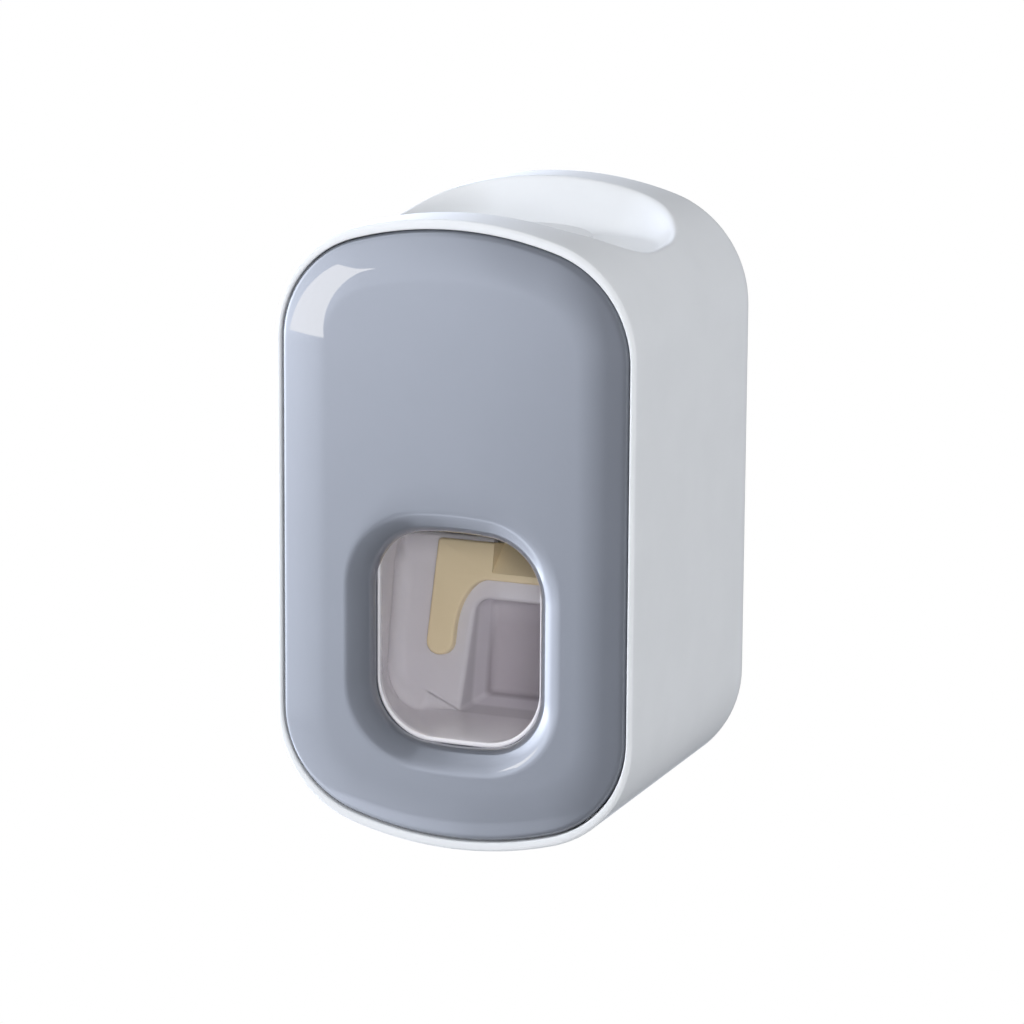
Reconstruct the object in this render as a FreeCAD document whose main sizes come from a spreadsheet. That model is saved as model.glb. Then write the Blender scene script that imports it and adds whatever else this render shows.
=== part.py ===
"""Wall-held toothpaste dispenser, as a parametric document of separate moulded pieces.

A tube is pushed neck down into the seal in the top dish. Pushing a brush into the window slides the
push cup back, its cam wings lift the nozzle carriage, and the carriage squeezes the pump bellows.

Frame: origin at the centre of the adhesive pad's wall face, +X to the right of someone facing the
front, +Y into the wall, +Z up. Millimetres and degrees.
"""
import FreeCAD
import Part
import math
import os
import Sketcher
from types import SimpleNamespace

DOC = FreeCAD.newDocument("ToothpasteDispenser")
SHEET = DOC.addObject("Spreadsheet::Sheet", "Sizes")
VECTOR = FreeCAD.Vector

# Driving dimensions: alias, value, what it measures
DIMENSIONS = [
    ("body_width", 61.0, "housing across the front"),
    ("body_height", 102.0, "housing from crown to crown"),
    ("body_depth", 54.0, "housing from rim to back"),
    ("crown_radius", 60.0, "arch of the top and bottom"),
    ("corner_radius", 18.5, "corners between sides and arches"),
    ("shell_wall", 2.2, "housing wall"),
    ("back_wall", 5.0, "housing back, thick enough for the wall slot"),
    ("rim_side", 0.95, "white rim beside the panel"),
    ("rim_crown", 1.55, "white rim above and below the panel"),
    ("rim_round", 0.7, "round on the rim's outer edge"),
    ("back_round", 2.0, "round on the back edge"),
    ("rebate_depth", 6.0, "ledge that the panel's skirt rests on, behind the rim"),
    ("wall_gap", 2.0, "air between the housing and the wall"),
    ("pad_thickness", 1.0, "adhesive foam pad"),
    ("pad_width", 28.0, "adhesive pad"),
    ("pad_margin", 2.0, "wall plate beyond the adhesive pad at the top and foot"),
    ("pad_corner", 4.0, "adhesive pad corners"),
    ("plate_clear", 4.5, "wall plate below the upper core screws, and the same at its foot"),
    ("plate_neck", 31.0, "wall plate at its narrow side"),
    ("plate_flare", 1.8, "dovetail overhang on each side of the wall plate"),
    ("plate_recess", 1.2, "moulding recess in the wall plate's front"),
    ("plate_rib", 4.0, "border left round that recess"),
    ("slot_depth", 3.0, "dovetail slot in the housing's back"),
    ("slide_gap", 0.25, "clearance round the dovetail"),
    ("dish_depth", 8.0, "tube dish below the top of the case"),
    ("dish_side", 1.34, "case outside the dish's floor on each side, at the floor's height"),
    ("dish_length", 31.0, "dish floor from front to back"),
    ("dish_corner", 13.0, "dish floor corners"),
    ("dish_flare", 3.2, "how far the dish's wall leans out on each side"),
    ("dish_round", 4.0, "round between the dish's floor and wall"),
    ("post_inset", 8.5, "panel posts inside the case's sides"),
    ("post_clear", 0.6, "upper panel posts above the deck"),
    ("post_drop", 10.073, "lower panel posts below the centre of the case's corner"),
    ("post_radius", 3.4, "panel posts"),
    ("peg_radius", 1.5, "panel pegs"),
    ("peg_grip", 5.0, "length of a peg inside its post"),
    ("peg_boss", 2.4, "shoulder radius at the root of a peg"),
    ("peg_gap", 0.08, "clearance round a peg"),
    ("panel_gap", 0.2, "gap between the panel and the rim"),
    ("panel_proud", 0.5, "how far the panel stands in front of the rim"),
    ("panel_wall", 2.4, "panel thickness"),
    ("panel_round", 2.0, "rolled outer edge of the panel"),
    ("skirt_wall", 1.2, "skirt behind the panel's edge"),
    ("window_width", 28.8, "brush window"),
    ("window_margin", 15.8, "window's lower edge above the foot of the case"),
    ("window_top", 0.0, "height of the window's upper edge"),
    ("window_corner", 9.0, "window corners"),
    ("window_roll", 3.0, "rolled edge of the window"),
    ("window_wall", 1.6, "collar behind the window"),
    ("window_collar", 6.0, "length of the window's wall from the panel's face"),
    ("cup_gap", 1.0, "gap between the window's collar and the cup's lip"),
    ("cup_mouth", 30.0, "cup's inside width at its lip"),
    ("cup_side", 5.3, "air between the cup's back corners and the case"),
    ("cup_wall", 1.5, "cup wall"),
    ("cup_corner", 7.0, "cup's lower inside corners"),
    ("cup_step", 0.3, "cup's floor above the window's lower edge"),
    ("cup_drop", 2.3, "cup's side walls below the window's upper edge"),
    ("cup_lip_round", 0.5, "round on the cup's lip"),
    ("paddle_offset", 2.6, "paddle's top edge behind the nozzle's axis"),
    ("paddle_drop", 7.5, "paddle's top edge below the window's upper edge"),
    ("paddle_tilt", 12.0, "lean of the paddle, foot forward, in degrees"),
    ("paddle_wall", 2.0, "paddle thickness, measured level"),
    ("pocket_drop", 16.8, "top of the brush pocket below the window's upper edge"),
    ("pocket_width", 14.4, "brush pocket"),
    ("pocket_corner", 2.2, "brush pocket's upper corners"),
    ("pocket_depth_top", 5.9, "pocket's back behind the paddle's top edge, at its top"),
    ("pocket_depth_foot", 8.6, "pocket's back behind the paddle's top edge, at its foot"),
    ("yoke_width", 28.4, "beige yoke"),
    ("yoke_rise", 8.2, "tips of the yoke's prongs above the cup's floor"),
    ("yoke_wall", 1.6, "beige yoke"),
    ("bridge_share", 0.323, "yoke's bar above its arch, as a share of the yoke's length"),
    ("yoke_prong", 4.5, "yoke's prongs"),
    ("arch_share", 0.26, "corners of the yoke's arch, as a share of the yoke's length"),
    ("chute_width", 7.0, "paste chute in the yoke's bar"),
    ("chute_depth", 4.6, "paste chute at the yoke's top edge"),
    ("chute_share", 0.81, "length of the chute down the yoke, as a share of the bar"),
    ("chute_wall", 1.0, "walls of the chute's block"),
    ("push_travel", 7.5, "stroke of the cup"),
    ("lift_travel", 6.0, "stroke of the nozzle carriage"),
    ("running_gap", 0.3, "clearance between sliding moulded faces"),
    ("pin_radius", 1.5, "cam pins"),
    ("pin_height", 8.0, "cam pins above the centre, at rest"),
    ("pin_gap", 0.1, "clearance round a cam pin"),
    ("pin_fit", 0.02, "clearance of a cam pin in the bar that carries it"),
    ("wing_wall", 2.0, "cam wings of the push carriage"),
    ("frame_side", 3.3, "air between the core frame and the case's sides"),
    ("wing_bottom", 2.5, "lower edge of a cam wing"),
    ("wing_top", 19.0, "upper edge of a cam wing"),
    ("wing_front", 12.5, "cam wing in front of the nozzle's axis"),
    ("wing_back", 11.8, "cam wing behind the nozzle's axis"),
    ("tongue_width", 1.8, "guide tongue's reach from its wing"),
    ("tongue_height", 2.0, "guide tongue"),
    ("cross_gap", 0.6, "cross plate behind the paddle's top edge"),
    ("cross_wall", 2.0, "carriage's cross plate"),
    ("cross_top", 14.8, "cross plate's lower bar below the window's upper edge"),
    ("cross_strip", 2.0, "cross plate below the brush pocket"),
    ("cross_foot_side", 1.0, "foot of the cross plate beside the brush pocket"),
    ("upright_width", 6.5, "uprights of the cross plate"),
    ("cheek_wall", 3.2, "side cheeks of the core frame"),
    ("cheek_bottom", -1.5, "lower edge of the cheeks"),
    ("frame_front", 9.5, "front of the core frame behind the rim"),
    ("frame_wall", 2.0, "core frame's back plate"),
    ("frame_rise", 15.0, "core frame above the foot of the case"),
    ("deck_drop", 12.0, "underside of the core frame's deck below the dish's floor"),
    ("deck_wall", 2.5, "core frame's deck"),
    ("screw_radius", 1.1, "self-tapping screws"),
    ("screw_gap", 0.05, "clearance round a screw's shank"),
    ("screw_head", 2.2, "screw head radius"),
    ("screw_head_height", 1.4, "screw head"),
    ("screw_grip", 3.6, "length of a core screw in the housing"),
    ("screw_inset_top", 4.8, "upper core screws inside the cheeks"),
    ("screw_inset_foot", 2.6, "lower core screws inside the frame's edge"),
    ("screw_drop", 4.5, "upper core screws below the deck"),
    ("screw_rise", 3.0, "lower core screws above the frame's foot"),
    ("cup_screw_inset", 5.0, "cup's screws inside the carriage's edge"),
    ("cup_screw_rise", 9.0, "cup's screws above the return springs"),
    ("cup_boss", 2.8, "cup's screw bosses, radius"),
    ("cup_screw_grip", 2.6, "length of a cup screw in its boss"),
    ("spring_radius", 3.1, "return springs, at the middle of the wire"),
    ("spring_wire", 0.7, "return spring wire"),
    ("spring_turns", 5.0, "return spring turns"),
    ("spring_inset", 4.0, "return springs inside the carriage's edge"),
    ("spring_rise", 5.9, "return springs above the cup's floor"),
    ("spring_seat_gap", 0.1, "gap between a spring's end and its seat"),
    ("spigot_radius", 2.3, "spring spigots"),
    ("spigot_length", 1.8, "spring spigots"),
    ("seal_bore", 5.6, "radius that grips the tube's neck"),
    ("seal_hole", 10.0, "radius of the hole in the dish's floor"),
    ("seal_flange", 12.0, "radius of the seal's flanges"),
    ("seal_lip", 1.5, "thickness of the seal's flanges"),
    ("seal_fit", 0.05, "clearance between the seal's groove and the hole's edge"),
    ("seal_lead", 2.4, "how far the seal's mouth widens from its bore"),
    ("lead_gap", 0.2, "foot of that mouth below the dish's floor plate"),
    ("spout_radius", 8.0, "seal's spout"),
    ("seat_flange", 11.5, "radius of the inlet seat's flange"),
    ("seat_flange_height", 1.7, "inlet seat's flange"),
    ("seat_body", 8.8, "radius of the inlet seat in the deck"),
    ("seat_fit", 0.1, "clearance round the inlet seat"),
    ("seat_reach", 0.5, "how far the inlet seat stands below the deck"),
    ("seat_web", 1.5, "web of the inlet seat"),
    ("port_radius", 1.2, "ports in the inlet seat"),
    ("port_circle", 3.9, "radius of the circle of ports"),
    ("stem_radius", 1.2, "flap's stem"),
    ("stem_fit", 0.1, "clearance round the flap's stem"),
    ("stem_knob", 1.9, "knob that holds the flap's stem"),
    ("flap_radius", 6.2, "inlet flap"),
    ("flap_wall", 0.8, "inlet flap"),
    ("bellows_outer", 10.4, "bellows at its crests"),
    ("bellows_inner", 7.6, "bellows at its roots, outside"),
    ("bellows_wall", 1.0, "bellows wall"),
    ("bellows_folds", 4.0, "folds in the bellows"),
    ("bellows_flange", 13.0, "radius of the bellows' upper flange"),
    ("bellows_lip", 1.4, "thickness of the bellows' flanges"),
    ("clamp_outer", 15.5, "bellows clamp ring"),
    ("clamp_wall", 1.7, "bellows clamp ring below the flange"),
    ("clamp_gap", 0.2, "clearance round the bellows' flange"),
    ("hub_radius", 11.0, "nozzle carriage's hub"),
    ("hub_bottom", 5.2, "underside of the hub"),
    ("hub_top", 10.8, "bellows' seat on the hub"),
    ("hub_rim", 1.8, "rim round that seat"),
    ("hub_bore", 4.0, "paste way through the hub"),
    ("bar_depth", 5.2, "nozzle carriage's bar from front to back"),
    ("pin_seat", 4.0, "length of a cam pin inside the bar"),
    ("nut_radius", 8.4, "nozzle nut"),
    ("nut_lip", 1.6, "nozzle nut below the nozzle's flange"),
    ("nut_gap", 0.15, "clearance between the nut and the nozzle"),
    ("nozzle_flange", 6.4, "nozzle's flange radius"),
    ("nozzle_lip", 1.5, "nozzle's flange"),
    ("nozzle_radius", 4.2, "nozzle's neck"),
    ("nozzle_bore", 3.0, "nozzle's bore"),
    ("nozzle_tip", -4.6, "height of the nozzle's tip at rest"),
    ("bill_height", 5.4, "duckbill below the nozzle's neck"),
    ("bill_thickness", 2.0, "duckbill's tip, front to back"),
    ("bill_slit", 0.7, "duckbill's slit"),
]

for row, (alias, value, meaning) in enumerate(DIMENSIONS, start=1):
    SHEET.set(f"A{row}", meaning)
    SHEET.set(f"B{row}", str(value))
    SHEET.setAlias(f"B{row}", alias)
DOC.recompute()


class Size:
    """A length with both its number, to draw with, and the sheet expression that drives it."""

    def __init__(self, value, text):
        self.value = value
        self.text = text

    def joined(self, sign, other, value):
        return Size(value, f"({self.text} {sign} {as_size(other).text})")

    def __add__(self, other):
        return self.joined("+", other, self.value + as_size(other).value)

    def __sub__(self, other):
        return self.joined("-", other, self.value - as_size(other).value)

    def __mul__(self, factor):
        return self.joined("*", factor, self.value * as_size(factor).value)

    def __truediv__(self, factor):
        return self.joined("/", factor, self.value / as_size(factor).value)

    def __neg__(self):
        return Size(-self.value, f"(0 - {self.text})")

    def root(self):
        return Size(math.sqrt(self.value), f"sqrt({self.text})")


def as_size(item):
    """Gives a plain number the form of a Size."""
    if isinstance(item, Size):
        return item
    return Size(float(item), f"({float(item)!r})")


size = SimpleNamespace(**{
    alias: Size(float(SHEET.get(alias)), f"Sizes.{alias}") for alias, _, _ in DIMENSIONS
})

# Planes and lines that several pieces share
HALF_WIDTH = size.body_width / 2
HALF_HEIGHT = size.body_height / 2
FRONT = -(size.wall_gap + size.body_depth)
BACK = -size.wall_gap
AXIS = -(size.wall_gap + size.body_depth / 2)
TILT_RATIO = Size(math.tan(math.radians(size.paddle_tilt.value)), "tan(Sizes.paddle_tilt * 1 deg)")
CAVITY_BACK = BACK - size.back_wall
LEDGE = FRONT + size.rebate_depth
PANEL_FACE = FRONT - size.panel_proud
PANEL_BACK = PANEL_FACE + size.panel_wall
DISH_FLOOR = HALF_HEIGHT - size.dish_depth
CORNER_SIDE = HALF_WIDTH - size.corner_radius
CORNER_REACH = size.crown_radius - size.corner_radius
CORNER_UP = HALF_HEIGHT - size.crown_radius + (CORNER_REACH * CORNER_REACH - CORNER_SIDE * CORNER_SIDE).root()
FLOOR_RISE = DISH_FLOOR - CORNER_UP
FLOOR_SIDE = CORNER_SIDE + (size.corner_radius * size.corner_radius - FLOOR_RISE * FLOOR_RISE).root()
DISH_SIDE = FLOOR_SIDE - size.dish_side
DECK = DISH_FLOOR - size.deck_drop
DECK_TOP = DECK + size.deck_wall
PLATE_HALF = DECK - size.screw_drop - size.plate_clear
PAD_HALF = PLATE_HALF - size.pad_margin
SEAT_TOP = DECK_TOP + size.seat_flange_height
SEAT_FOOT = DECK - size.seat_reach
POST_SIDE = HALF_WIDTH - size.post_inset
POST_TOP = DECK_TOP + size.post_clear + size.post_radius
POST_FOOT = -(CORNER_UP + size.post_drop)
WINDOW_FOOT = size.window_margin - HALF_HEIGHT
CUP_LIP = PANEL_FACE + size.window_collar + size.cup_gap
CUP_FLOOR = WINDOW_FOOT + size.cup_step
CUP_TOP = size.window_top - size.cup_drop
CUP_BACK = (HALF_WIDTH - size.shell_wall - size.cup_side - size.cup_wall) * 2
PADDLE_TOP = size.window_top - size.paddle_drop
PADDLE_EDGE = AXIS + size.paddle_offset
YOKE_TIP = CUP_FLOOR + size.yoke_rise - PADDLE_TOP
YOKE_BRIDGE = -YOKE_TIP * size.bridge_share
YOKE_ARCH = -YOKE_TIP * size.arch_share
CHUTE_DROP = YOKE_BRIDGE * size.chute_share
POCKET_TOP = size.window_top - size.pocket_drop
CROSS_FRONT = PADDLE_EDGE + size.paddle_wall + size.cross_gap
CROSS_BACK = CROSS_FRONT + size.cross_wall
FRAME_BACK = CAVITY_BACK - size.frame_wall
FRAME_FOOT = size.frame_rise - HALF_HEIGHT
CHEEK_OUTER = HALF_WIDTH - size.shell_wall - size.frame_side
CHEEK_INNER = CHEEK_OUTER - size.cheek_wall
WING_OUTER = CHEEK_INNER - size.running_gap
WING_INNER = WING_OUTER - size.wing_wall
SPRING_SIDE = WING_OUTER - size.spring_inset
SPRING_HEIGHT = CUP_FLOOR + size.spring_rise
CUP_SCREW_SIDE = WING_OUTER - size.cup_screw_inset
CUP_SCREW_HEIGHT = SPRING_HEIGHT + size.cup_screw_rise
HUB_SEAT = size.hub_radius - size.hub_rim


def bind(item, path, amount):
    """Ties a property of a document object to the sheet."""
    item.setExpression(path, as_size(amount).text)


def new_body(label):
    """Starts a sub-part whose label is its name."""
    body = DOC.addObject("PartDesign::Body", label)
    body.Label = label
    return body


def new_sketch(body, role, offset=0.0):
    """Starts a sketch on one of the body's origin planes, moved along that plane's normal."""
    sketch = body.newObject("Sketcher::SketchObject", "Outline")
    plane = next(item for item in body.Origin.OriginFeatures if item.Role == role)
    sketch.AttachmentSupport = [(plane, "")]
    sketch.MapMode = "FlatFace"
    bind(sketch, "AttachmentOffset.Base.z", offset)
    return sketch


def front_sketch(body, depth):
    """A sketch that faces the front, in the plane of the given Y."""
    return new_sketch(body, "XZ_Plane", -as_size(depth))


def level_sketch(body, height):
    """A sketch that lies level at the given Z."""
    return new_sketch(body, "XY_Plane", height)


def side_sketch(body, across):
    """A sketch in the side view, at the given X."""
    return new_sketch(body, "YZ_Plane", across)


def hold(sketch, constraint, amount):
    """Adds a dimension to a sketch and ties it to the sheet."""
    index = sketch.addConstraint(constraint)
    bind(sketch, f"Constraints[{index}]", amount)


def hold_point(sketch, element, end, across, up):
    """Fixes one point of a sketch by its two coordinates."""
    hold(sketch, Sketcher.Constraint("DistanceX", -1, 1, element, end, as_size(across).value), across)
    hold(sketch, Sketcher.Constraint("DistanceY", -1, 1, element, end, as_size(up).value), up)


def draw_polygon(sketch, corners):
    """Draws a closed outline of straight edges through the corners."""
    first = sketch.GeometryCount
    points = [VECTOR(as_size(across).value, as_size(up).value, 0) for across, up in corners]
    count = len(points)
    for index in range(count):
        sketch.addGeometry(Part.LineSegment(points[index], points[(index + 1) % count]), False)
    for index in range(count):
        following = first + (index + 1) % count
        sketch.addConstraint(Sketcher.Constraint("Coincident", first + index, 2, following, 1))
    for index, (across, up) in enumerate(corners):
        hold_point(sketch, first + index, 1, across, up)


def draw_circle(sketch, across, up, radius):
    """Draws a circle about a centre given by its coordinates."""
    centre = VECTOR(as_size(across).value, as_size(up).value, 0)
    circle = Part.Circle(centre, VECTOR(0, 0, 1), as_size(radius).value)
    index = sketch.addGeometry(circle, False)
    hold_point(sketch, index, 3, across, up)
    hold(sketch, Sketcher.Constraint("Radius", index, as_size(radius).value), radius)


def arc_between(centre, radius, start, end):
    """An arc of a circle, anticlockwise from the start angle to the end angle, in degrees."""
    circle = Part.Circle(VECTOR(centre[0], centre[1], 0), VECTOR(0, 0, 1), radius)
    return Part.ArcOfCircle(circle, math.radians(start), math.radians(end))


def join_tangent(sketch, first, second):
    """Joins the end of one element to the start of the next with a common tangent."""
    sketch.addConstraint(Sketcher.Constraint("Tangent", first, 2, second, 1))


def draw_rounded(sketch, left, right, low, high, radius_low, radius_high):
    """Draws an upright rectangle with one radius for its lower and one for its upper corners."""
    left, right, low, high = [as_size(item) for item in (left, right, low, high)]
    below, above = as_size(radius_low).value, as_size(radius_high).value
    x0, x1, z0, z1 = left.value, right.value, low.value, high.value
    first = sketch.GeometryCount
    pieces = [
        Part.LineSegment(VECTOR(x0 + below, z0, 0), VECTOR(x1 - below, z0, 0)),
        arc_between((x1 - below, z0 + below), below, 270, 360),
        Part.LineSegment(VECTOR(x1, z0 + below, 0), VECTOR(x1, z1 - above, 0)),
        arc_between((x1 - above, z1 - above), above, 0, 90),
        Part.LineSegment(VECTOR(x1 - above, z1, 0), VECTOR(x0 + above, z1, 0)),
        arc_between((x0 + above, z1 - above), above, 90, 180),
        Part.LineSegment(VECTOR(x0, z1 - above, 0), VECTOR(x0, z0 + below, 0)),
        arc_between((x0 + below, z0 + below), below, 180, 270),
    ]
    sketch.addGeometry(pieces, False)
    for index in range(8):
        join_tangent(sketch, first + index, first + (index + 1) % 8)
    for index, radius in ((1, radius_low), (3, radius_high), (5, radius_high), (7, radius_low)):
        hold(sketch, Sketcher.Constraint("Radius", first + index, as_size(radius).value), radius)
    for index in (0, 4):
        sketch.addConstraint(Sketcher.Constraint("Horizontal", first + index))
    for index in (2, 6):
        sketch.addConstraint(Sketcher.Constraint("Vertical", first + index))
    hold(sketch, Sketcher.Constraint("DistanceY", -1, 1, first, 1, z0), low)
    hold(sketch, Sketcher.Constraint("DistanceX", -1, 1, first + 2, 1, x1), right)
    hold(sketch, Sketcher.Constraint("DistanceY", -1, 1, first + 4, 1, z1), high)
    hold(sketch, Sketcher.Constraint("DistanceX", -1, 1, first + 6, 1, x0), left)


def draw_pair(sketch, side, height, radius):
    """Draws two equal circles, one at each side of the middle."""
    for across in (-side, side):
        draw_circle(sketch, across, height, radius)


def draw_posts(sketch, radius):
    """Draws a circle at each of the four posts that take the panel's pegs."""
    draw_pair(sketch, POST_SIDE, POST_TOP, radius)
    draw_pair(sketch, POST_SIDE, POST_FOOT, radius)


def draw_cup_circles(sketch, radius):
    """Draws a circle at each of the cup's two screws."""
    draw_pair(sketch, CUP_SCREW_SIDE, CUP_SCREW_HEIGHT, radius)


def draw_core_circles(sketch, radius):
    """Draws a circle at each of the core frame's four screws."""
    draw_pair(sketch, CHEEK_INNER - size.screw_inset_top, DECK - size.screw_drop, radius)
    draw_pair(sketch, CHEEK_OUTER - size.screw_inset_foot, FRAME_FOOT + size.screw_rise, radius)


def draw_slot(sketch, start, end, radius):
    """Draws a round-ended slot between two centres."""
    ends = [(as_size(across).value, as_size(up).value) for across, up in (start, end)]
    heading = math.degrees(math.atan2(ends[1][1] - ends[0][1], ends[1][0] - ends[0][0]))
    reach = as_size(radius).value
    aside = VECTOR(-math.sin(math.radians(heading)), math.cos(math.radians(heading)), 0) * reach
    points = [VECTOR(across, up, 0) for across, up in ends]
    first = sketch.GeometryCount
    sketch.addGeometry([
        arc_between(ends[0], reach, heading + 90, heading + 270),
        Part.LineSegment(points[0] - aside, points[1] - aside),
        arc_between(ends[1], reach, heading - 90, heading + 90),
        Part.LineSegment(points[1] + aside, points[0] + aside),
    ], False)
    for index in range(4):
        join_tangent(sketch, first + index, first + (index + 1) % 4)
    for index, (across, up) in ((0, start), (2, end)):
        hold_point(sketch, first + index, 3, across, up)
        hold(sketch, Sketcher.Constraint("Radius", first + index, reach), radius)


def draw_box(sketch, left, right, low, high):
    """Draws a plain rectangle."""
    draw_polygon(sketch, [(left, low), (right, low), (right, high), (left, high)])


def draw_crowned(sketch, inset_side, inset_crown):
    """Draws the dispenser's front outline, moved in by the given amounts.

    Straight sides run into round corners, and the corners into a wide arch at the top and bottom.
    """
    half_width = HALF_WIDTH - inset_side
    half_height = HALF_HEIGHT - inset_crown
    crown = size.crown_radius - inset_crown
    corner = size.corner_radius - inset_side
    across = half_width.value - corner.value
    reach = crown.value - corner.value
    up = half_height.value - crown.value + math.sqrt(reach ** 2 - across ** 2)
    lean = math.degrees(math.acos(across / reach))
    crown_up = half_height - crown
    first = sketch.GeometryCount
    pieces = [
        Part.LineSegment(VECTOR(half_width.value, -up, 0), VECTOR(half_width.value, up, 0)),
        arc_between((across, up), corner.value, 0, lean),
        arc_between((0, crown_up.value), crown.value, lean, 180 - lean),
        arc_between((-across, up), corner.value, 180 - lean, 180),
        Part.LineSegment(VECTOR(-half_width.value, up, 0), VECTOR(-half_width.value, -up, 0)),
        arc_between((-across, -up), corner.value, 180, 180 + lean),
        arc_between((0, -crown_up.value), crown.value, 180 + lean, 360 - lean),
        arc_between((across, -up), corner.value, 360 - lean, 360),
    ]
    sketch.addGeometry(pieces, False)
    for index in range(8):
        join_tangent(sketch, first + index, first + (index + 1) % 8)
    for index in (1, 3, 5, 7):
        hold(sketch, Sketcher.Constraint("Radius", first + index, corner.value), corner)
    for index, height in ((2, crown_up), (6, -crown_up)):
        hold(sketch, Sketcher.Constraint("Radius", first + index, crown.value), crown)
        sketch.addConstraint(Sketcher.Constraint("PointOnObject", first + index, 3, -2))
        hold(sketch, Sketcher.Constraint("DistanceY", -1, 1, first + index, 3, height.value), height)
    for index, side in ((0, half_width), (4, -half_width)):
        sketch.addConstraint(Sketcher.Constraint("Vertical", first + index))
        hold(sketch, Sketcher.Constraint("DistanceX", -1, 1, first + index, 1, side.value), side)


def settle(feature):
    """Recomputes the document and stops if the new feature failed."""
    DOC.recompute()
    if "Invalid" in feature.State or "Error" in feature.State or feature.Shape.isNull():
        raise RuntimeError(f"{feature.Name} failed: {feature.State}")
    return feature


def extrude(body, kind, sketch, length, reverse):
    """Makes a Pad or Pocket and compares the volume before and after it."""
    before = body.Shape.Volume if not body.Shape.isNull() else 0.0
    feature = body.newObject(f"PartDesign::{kind}", kind)
    feature.Profile = sketch
    feature.Reversed = reverse
    bind(feature, "Length", length)
    settle(feature)
    grown = body.Shape.Volume - before
    if (kind == "Pad" and grown <= 0) or (kind == "Pocket" and grown >= 0):
        raise RuntimeError(f"{body.Label}: {feature.Name} points the wrong way")
    return feature


def pad_along(body, sketch, length):
    """Adds material along the sketch's normal: forward, up or to the right."""
    return extrude(body, "Pad", sketch, length, False)


def pad_against(body, sketch, length):
    """Adds material against the sketch's normal: back, down or to the left."""
    return extrude(body, "Pad", sketch, length, True)


def cut_along(body, sketch, length):
    """Cuts along the sketch's normal."""
    return extrude(body, "Pocket", sketch, length, True)


def cut_against(body, sketch, length):
    """Cuts against the sketch's normal."""
    return extrude(body, "Pocket", sketch, length, False)


def loft(body, kind, sketches):
    """Makes an AdditiveLoft or SubtractiveLoft through two sections."""
    feature = body.newObject(f"PartDesign::{kind}", kind)
    feature.Profile = sketches[0]
    feature.Sections = sketches[1:]
    feature.Ruled = True
    return settle(feature)


def revolve(body, corners):
    """Turns a profile, given as radius and height, about the body's upright axis."""
    sketch = new_sketch(body, "XZ_Plane")
    draw_polygon(sketch, corners)
    feature = body.newObject("PartDesign::Revolution", "Revolution")
    feature.Profile = sketch
    feature.ReferenceAxis = (sketch, ["V_Axis"])
    feature.Angle = 360.0
    return settle(feature)


def cut_by(body, tool):
    """Takes the tool body's shape out of the body."""
    feature = body.newObject("PartDesign::Boolean", "Cut")
    feature.Type = "Cut"
    feature.setObjects([tool])
    return settle(feature)


def round_edges(body, radius, chosen):
    """Rounds the edges of the body's tip for which the test is true."""
    base = body.Tip
    names = [f"Edge{index}" for index, edge in enumerate(base.Shape.Edges, start=1) if chosen(edge)]
    feature = body.newObject("PartDesign::Fillet", "Round")
    feature.Base = (base, names)
    bind(feature, "Radius", radius)
    return settle(feature)


def near(value, target):
    """True where a coordinate lies on a named plane."""
    return abs(value - as_size(target).value) < 1e-4


def lies_at_depth(edge, depth):
    """True where the whole edge lies in the plane of the given Y."""
    return near(edge.BoundBox.YMin, depth) and near(edge.BoundBox.YMax, depth)


def put_on_axis(body):
    """Moves a turned piece onto the pump's upright axis."""
    bind(body, "Placement.Base.y", AXIS)


def make_adhesive_pad():
    """Foam pad with rounded corners between the wall and the wall plate."""
    body = new_body("adhesive_pad")
    sketch = front_sketch(body, 0.0)
    half_width = size.pad_width / 2
    half_height = PAD_HALF
    draw_rounded(sketch, -half_width, half_width, -half_height, half_height, size.pad_corner, size.pad_corner)
    pad_along(body, sketch, size.pad_thickness)
    return body


def make_wall_plate():
    """Dovetail plate that stays on the wall; the dispenser slides down over it."""
    body = new_body("wall_plate")
    neck = size.plate_neck / 2
    face = -(size.wall_gap + size.slot_depth - size.slide_gap)
    sketch = level_sketch(body, -PLATE_HALF)
    draw_polygon(sketch, [
        (-neck, -size.pad_thickness), (neck, -size.pad_thickness), (neck, BACK),
        (neck + size.plate_flare, face), (-neck - size.plate_flare, face), (-neck, BACK),
    ])
    pad_along(body, sketch, PLATE_HALF * 2)
    recess = front_sketch(body, face)
    half_width = neck - size.plate_rib
    half_height = PLATE_HALF - size.plate_rib
    draw_rounded(recess, -half_width, half_width, -half_height, half_height, size.pad_corner, size.pad_corner)
    cut_against(body, recess, size.plate_recess)
    return body


def draw_dish(sketch, grow):
    """Draws the dish's outline about the tube's axis, grown on every side."""
    half_width = DISH_SIDE + grow
    half_length = size.dish_length / 2 + grow
    corner = size.dish_corner + grow
    draw_rounded(sketch, -half_width, half_width, AXIS - half_length, AXIS + half_length, corner, corner)


def make_cavity():
    """The hollow of the housing: its outline less the dish's underside and the panel posts."""
    body = new_body("housing_cavity")
    outline = front_sketch(body, FRONT)
    draw_crowned(outline, size.shell_wall, size.shell_wall)
    pad_against(body, outline, size.body_depth - size.back_wall)
    posts = front_sketch(body, LEDGE)
    draw_posts(posts, size.post_radius)
    cut_against(body, posts, size.body_depth - size.back_wall - size.rebate_depth)
    underside = level_sketch(body, DISH_FLOOR - size.shell_wall)
    draw_dish(underside, size.shell_wall)
    brim = level_sketch(body, HALF_HEIGHT)
    draw_dish(brim, size.shell_wall + size.dish_flare)
    loft(body, "SubtractiveLoft", [underside, brim])
    return body


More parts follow.
